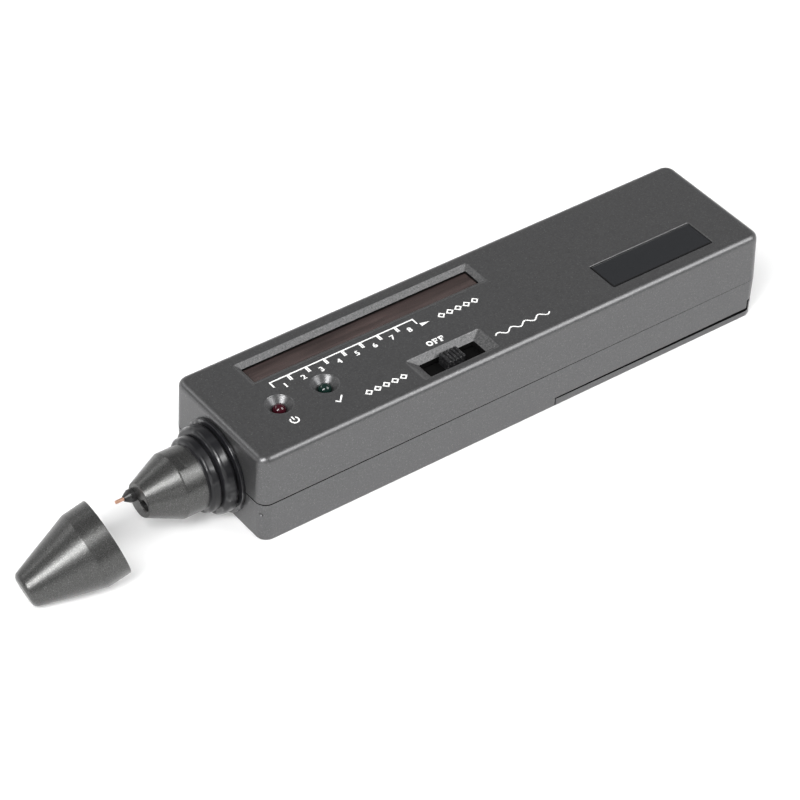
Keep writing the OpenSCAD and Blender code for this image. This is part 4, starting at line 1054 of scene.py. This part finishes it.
lozenges(-9.5 * mm, 1.3 * mm, 5, 2.45 * mm)
lozenges(-39.9 * mm, -11.75 * mm, 5, 2.45 * mm)
wave_x, wave_y = -3.6 * mm, -12.05 * mm
wave_step, wave_tall, wave_steps = 0.5 * mm, 0.62 * mm, 8
stroke([(wave_x + wave_step * k, wave_y + wave_tall * math.sin(2 * math.pi * k / wave_steps))
    for k in range(4 * wave_steps + 1)], sign_w)
power_mark = (-59.4 * mm, -9.95 * mm)
stroke(arc_points(power_mark, 1.0 * mm, 130, 410, 20), sign_w)
stroke([(power_mark[0], power_mark[1] + 0.1 * mm), (power_mark[0], power_mark[1] + 1.3 * mm)], sign_w)
ready_mark = (-46.9 * mm, -9.85 * mm)
stroke([(ready_mark[0] - 1.1 * mm, ready_mark[1]), (ready_mark[0] - 0.3 * mm, ready_mark[1] - 0.8 * mm),
    (ready_mark[0] + 1.3 * mm, ready_mark[1] + 0.95 * mm)], 0.4 * mm)

bpy.ops.object.select_all(action="DESELECT")
for mark in prints:
    mark.select_set(True)
bpy.context.view_layer.objects.active = prints[0]
bpy.ops.object.join()
printing = bpy.context.object
printing.name = "printed_scale"
printing.data.materials.clear()
printing.data.materials.append(ink)
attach(printing, "housing")

# Battery door
# The sliding cover of the battery bay, moulded like the shells. Its hooks run over the ledges of the
# lower shell, its tongue goes in under the bay's floor, and grooves under its rear end give a grip.
door_t = 1.6 * mm
door_end_t = 2 * mm
door_rib_top = battery_low.z - slide_gap
hook_z = ledge_z + ledge_t + slide_gap
hook_top = hook_z + 0.9 * mm
rail_y = inner_y - ledge_in - slide_gap
rail_t = 0.8 * mm
hook_y = inner_y - 1.5 * slide_gap
door_sag = 0.6 * mm
end_play = 0.25 * mm
door = case_form("battery_door_piece")
door_room = block("door_room", (bay_front, -case_size.y, -past),
    (case_high.x + past, case_size.y, door_lip_z))
weld(door_room, block("door_end_room", (door_step_x + end_play, -case_size.y, -1 * mm),
    (case_high.x + past, case_size.y, door_high.z - end_play)))
combine(door, [door_room], "INTERSECT")
sag_room = block("sag_room", (bay_front - past, -case_size.y, door_lip_z - door_sag),
    (case_high.x + past, case_size.y, door_lip_z + 0.2 * mm))
edit(sag_room)
pick(sag_room, "FACE", lambda corners: all(c.x < bay_front for c in corners))
bpy.ops.transform.resize(value=(1, 1, 0.35), center_override=(0, 0, door_lip_z + 0.2 * mm))
leave(sag_room)
cut(sag_room, block("sag_end", (door_step_x + end_play, -case_size.y, -past),
    (case_high.x + 2 * past, case_size.y, door_high.z)))
cut(door, sag_room)
cut(door, block("door_tray", (bay_front - past, case_low.y + door_end_t, door_t),
    (case_high.x - door_end_t, case_high.y - door_end_t, door_high.z + past)))
for side in (-1, 1):
    edges = sorted((side * (rail_y - rail_t), side * rail_y))
    weld(door, block("rail", (rail_front, edges[0], door_t - weld_in), (rail_rear, edges[1], hook_top)))
    edges = sorted((side * (rail_y - rail_t), side * hook_y))
    weld(door, block("hook", (rail_front, edges[0], hook_z), (rail_rear, edges[1], hook_top)))
    weld(door, block("battery_rib", (rail_front, side * 7 * mm - 0.6 * mm, door_t - weld_in),
        (rail_rear, side * 7 * mm + 0.6 * mm, door_rib_top)))
post_rear, post_y = bay_front + 1.8 * mm, 8 * mm
weld(door, block("door_post", (bay_front, -post_y, door_t - weld_in), (post_rear, post_y, door_rib_top)))
weld(door, block("door_tongue", (door_low.x, -post_y, door_rib_top - 1 * mm),
    (post_rear, post_y, door_rib_top)))
for i in range(5):
    groove_x = case_high.x - 5.5 * mm - 2 * mm * i
    cut(door, lofted("grip", (groove_x, 0), (1 * mm, 14 * mm), 0.45 * mm, [(-1 * mm, 0), (0.4 * mm, 0)]))
smooth(door)


def in_door_joint(at, facing):
    """Faces that take the painted shade in the door's gaps: its lip, the front of its end wall and the top of
    that wall.
    """
    lip = facing.z > 0.9 and door_lip_z - door_sag - 0.1 * mm < at.z < door_lip_z + hair
    end = facing.x < -0.9 and at.x > door_step_x - hair
    end_top = facing.z > 0.9 and at.z > door_high.z - end_play - hair
    return lip or end or end_top


painted(door, case_plastic, painted_shade_black, by=in_door_joint)
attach(door, "door")
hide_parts("battery_door")

# Collar
# A glossy black ring with two round ribs, pressed on the nose's spigot and held against the case's front.
# The cap snaps over its front rib, and it is flat below so that it clears the table.
collar_low, collar_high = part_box("nose_collar")
collar_front = case_low.x - collar_low.x
flange_r = 11.6 * mm
rear_r, front_r = 10.95 * mm, 9.35 * mm
collar = turned("nose_collar_piece", (case_low.x, 0, nose_z), rounded([(collar_front, spigot_bore_r),
    (0, spigot_bore_r), (0, flange_r, 0.1 * mm), (0.85 * mm, flange_r, 0.22 * mm),
    (1.05 * mm, rear_r - 0.75 * mm), (1.3 * mm, rear_r - 0.55 * mm), (1.75 * mm, rear_r, 0.8 * mm),
    (4.35 * mm, rear_r - 0.1 * mm, 1.1 * mm),
    (4.6 * mm, front_r - 0.4 * mm), (4.75 * mm, front_r - 0.4 * mm), (4.95 * mm, front_r, 0.5 * mm),
    (7.1 * mm, front_r - 0.05 * mm, 0.95 * mm), (7.35 * mm, 8.2 * mm), (collar_front, 8.1 * mm),
    (collar_front, spigot_bore_r)], 8), sides=144)
cut(collar, block("table_flat", (collar_low.x - past, -20 * mm, -20 * mm),
    (collar_high.x + past, 20 * mm, collar_low.z)))
smooth(collar, 25)
collar_gloss, nodes, links, shader = blank("collar_gloss", 0.3)
shader.inputs["Specular IOR Level"].default_value = 0.3
shader.inputs["Coat Roughness"].default_value = 0.17
streaks = noise(nodes, links, 170, 4, (0.5, 1.6, 1.6))
streaked = two_tone(nodes, links, streaks, (0.006, 0.006, 0.007), (0.014, 0.014, 0.016))
links.new(streaked, shader.inputs["Base Color"])
links.new(ranged(nodes, links, streaks, 0.48, 0.58), shader.inputs["Coat Weight"])
bump(nodes, links, noise(nodes, links, 900, 4, (4, 1, 1)), 0.006 * mm, shader)
painted(collar, collar_gloss)
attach(collar, "housing")
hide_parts("nose_collar")

# Nose
# The satin grey nose that carries the probe and a small lamp. Its spigot passes through the collar and the
# front wall to a keeper inside, and a short flat on its top tells the thumb which way is up.
nose_low, nose_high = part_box("nose_cone")
probe_y = (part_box("probe_sleeve")[0].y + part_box("probe_sleeve")[1].y) / 2
lamp_y = -2.4 * mm
face_d = case_low.x - nose_low.x
shoulder_d = face_d - 8.4 * mm
keeper_d = case_low.x - nose_high.x
keeper_t = 1.5 * mm
spigot_r = 6 * mm
keeper_r = spigot_r + 1.4 * mm
nose_r = 8.1 * mm
face_r = 4.3 * mm
nose = turned("nose_cone_piece", (case_low.x, 0, nose_z), rounded([(keeper_d, 0), (keeper_d, keeper_r),
    (keeper_d + keeper_t, keeper_r), (keeper_d + keeper_t, spigot_r), (collar_front, spigot_r),
    (collar_front, nose_r, 0.12 * mm), (shoulder_d, nose_r, 1.2 * mm), (face_d, face_r, 0.22 * mm),
    (face_d, 0)]), sides=128)
barrel_bore_r = 1.65 * mm
cut(nose, rod("barrel_bore", nose_low.x - past, nose_high.x + past, probe_y, nose_z, barrel_bore_r))
hole_l = face_d - keeper_d
hole_rear_r, hole_r, hole_front_r, hole_rim_r = 1.9 * mm, 1.55 * mm, 1.45 * mm, 1.75 * mm
lamp_hole = turned("lamp_hole", (nose_high.x + past, lamp_y, nose_z), [(0, 0), (0, hole_rear_r),
    (1.7 * mm, hole_rear_r), (1.7 * mm, hole_r), (hole_l - 1.3 * mm, hole_r),
    (hole_l - 0.3 * mm, hole_front_r), (hole_l + 0.78 * mm, hole_front_r), (hole_l + 1.1 * mm, hole_rim_r),
    (hole_l + 2 * mm, hole_rim_r), (hole_l + 2 * mm, 0)], sides=48)
cut(nose, lamp_hole)
flat_depth = 0.28 * mm
flat_turn = math.radians(12)
flat_rear = case_low.x - shoulder_d + 1.9 * mm
flat_l = 1.7 * mm
flat_tool = block("flat_tool", (flat_rear - flat_l, -nose_r, -nose_r / 2), (flat_rear, nose_r, nose_r / 2))
edit(flat_tool)
pick(flat_tool, "FACE", lambda corners: all(c.z > 0 for c in corners))
bpy.ops.transform.translate(value=(nose_r, 0, 0))
leave(flat_tool)
flat_tool.data.transform(Matrix.Translation((0, 0, nose_z)) @ Matrix.Rotation(flat_turn, 4, "X")
    @ Matrix.Translation((0, 0, nose_r - flat_depth + nose_r / 2)))
cut(nose, flat_tool)
weld(nose, block("face_ridge", (nose_low.x - 0.3 * mm, -0.95 * mm, nose_z - 0.3 * mm),
    (nose_low.x + 0.5 * mm, 0.55 * mm, nose_z + 0.3 * mm)))
smooth(nose, 28)
nose_plastic = moulded("nose_plastic", (0.060, 0.060, 0.059), (0.109, 0.109, 0.107), (0.19, 0.19, 0.185),
    0.31, 0.8, 11000, 0.06, 0.011 * mm)
painted(nose, nose_plastic)
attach(nose, "housing")
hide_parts("nose_cone")

# Probe
# A blunt copper pin that a small spring pushes forward, in a brass barrel behind a black sleeve. The
# sleeve is pressed in the nose's face, the plug closes the barrel, and two leads go up to the board.
sleeve_low, sleeve_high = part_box("probe_sleeve")
pin_low, pin_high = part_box("probe_tip")
pin_r = 0.43 * mm
sleeve_d = nose_low.x - sleeve_low.x
shank_d = nose_low.x - sleeve_high.x
sleeve = turned("probe_sleeve_piece", (nose_low.x, probe_y, nose_z), rounded([(shank_d, pin_r + 0.07 * mm),
    (shank_d, 1.6 * mm), (0.8 * mm, 1.6 * mm, 0.05 * mm), (0.8 * mm, 1.5 * mm), (0.95 * mm, 1.5 * mm),
    (0.95 * mm, 1.68 * mm, 0.1 * mm), (sleeve_d, 0.7 * mm, 0.12 * mm), (sleeve_d, pin_r + 0.07 * mm),
    (shank_d, pin_r + 0.07 * mm)], 4), sides=64)
smooth(sleeve, 40)
painted(sleeve, finish("sleeve_plastic", (0.02, 0.02, 0.02), (0.045, 0.045, 0.045), 0.32, 0.3,
    2500, 0.006 * mm))
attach(sleeve, "housing")
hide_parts("probe_sleeve")

pin_d = pin_high.x - pin_low.x
plunger_r = (pin_high.z - pin_low.z) / 2
pin = turned("probe_tip_piece", (pin_high.x, probe_y, nose_z), rounded([(0, 0), (0, plunger_r, 0.1 * mm),
    (1.5 * mm, plunger_r, 0.1 * mm), (1.5 * mm, pin_r), (pin_d, pin_r, 0.2 * mm), (pin_d, 0)], 5), sides=48)
smooth(pin, 40)
painted(pin, finish("worn_copper", (0.50, 0.26, 0.17), (0.76, 0.48, 0.36), 0.3, 0.9,
    3500, 0.006 * mm, (0.3, 1, 1)))
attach(pin, "probe")
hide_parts("probe_tip")
dress(finish("drawn_brass", (0.5, 0.34, 0.12), (0.66, 0.48, 0.2), 0.3, 1.0, 1200, 0.004 * mm, (0.1, 1, 1)),
    "probe_barrel")
dress(steel, "probe_spring")
dress(black_plastic, "probe_plug")

# Nose lamp
# A clear 3 mm lamp behind a hole in the nose's face, which lights the stone under test.
nose_lamp_low, nose_lamp_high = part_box("nose_lamp")
nose_lamp_l = nose_lamp_high.x - nose_lamp_low.x
nose_lamp = turned("nose_lamp_dome", (nose_lamp_high.x, lamp_y, nose_z),
    dome_profile(1.5 * mm, 1.85 * mm, 1 * mm, nose_lamp_l), sides=48)
smooth(nose_lamp, 40)
painted(nose_lamp, lamp_resin("clear_resin", (0.5, 0.48, 0.6), (0.6, 0.58, 0.68), 0.85))
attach(nose_lamp, "housing")
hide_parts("nose_lamp")

# Cap
# A cup that guards the probe when the tester is put away, moulded in the nose's plastic. It is shown taken
# off and lying on its cone, just in front of the nose, with its bore tapered like its outside.
cap_l = 22.2 * mm
cap_r = 9.6 * mm
cap_band_l = 5.9 * mm
cap_round_r = 1.6 * mm
cap_bore_r = nose_r + 0.15 * mm
cap_end_t = 2.1 * mm
cap_tilt = 18.14
cap_turn = -4.7
cap_mouth = Vector((-107.2, -5.6, 10.912)) * mm
cap_slope = math.tan(math.radians(cap_tilt))
cap_band_r = cap_r - 0.05 * mm
cap_tip_r = cap_band_r - (cap_l - cap_band_l) * cap_slope
cap_floor_d = cap_l - cap_end_t
cap_floor_r = cap_bore_r - (cap_floor_d - cap_band_l) * cap_slope
cap = turned("cap_piece", (0, 0, 0), rounded([(cap_l, 0), (cap_l, cap_tip_r, cap_round_r),
    (cap_band_l, cap_band_r, 0.8 * mm), (0, cap_r, 0.15 * mm), (0, cap_bore_r, 0.2 * mm),
    (cap_band_l, cap_bore_r), (cap_floor_d, cap_floor_r, 0.6 * mm), (cap_floor_d, 0)], 8), sides=144)
cap.rotation_euler = (Matrix.Rotation(math.radians(cap_turn), 3, "Z")
    @ Matrix.Rotation(math.radians(-cap_tilt), 3, "Y")).to_euler()
cap.location = cap_mouth
settle(cap)
smooth(cap, 30)
painted(cap, nose_plastic)
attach(cap, "cap")
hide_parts("cap")
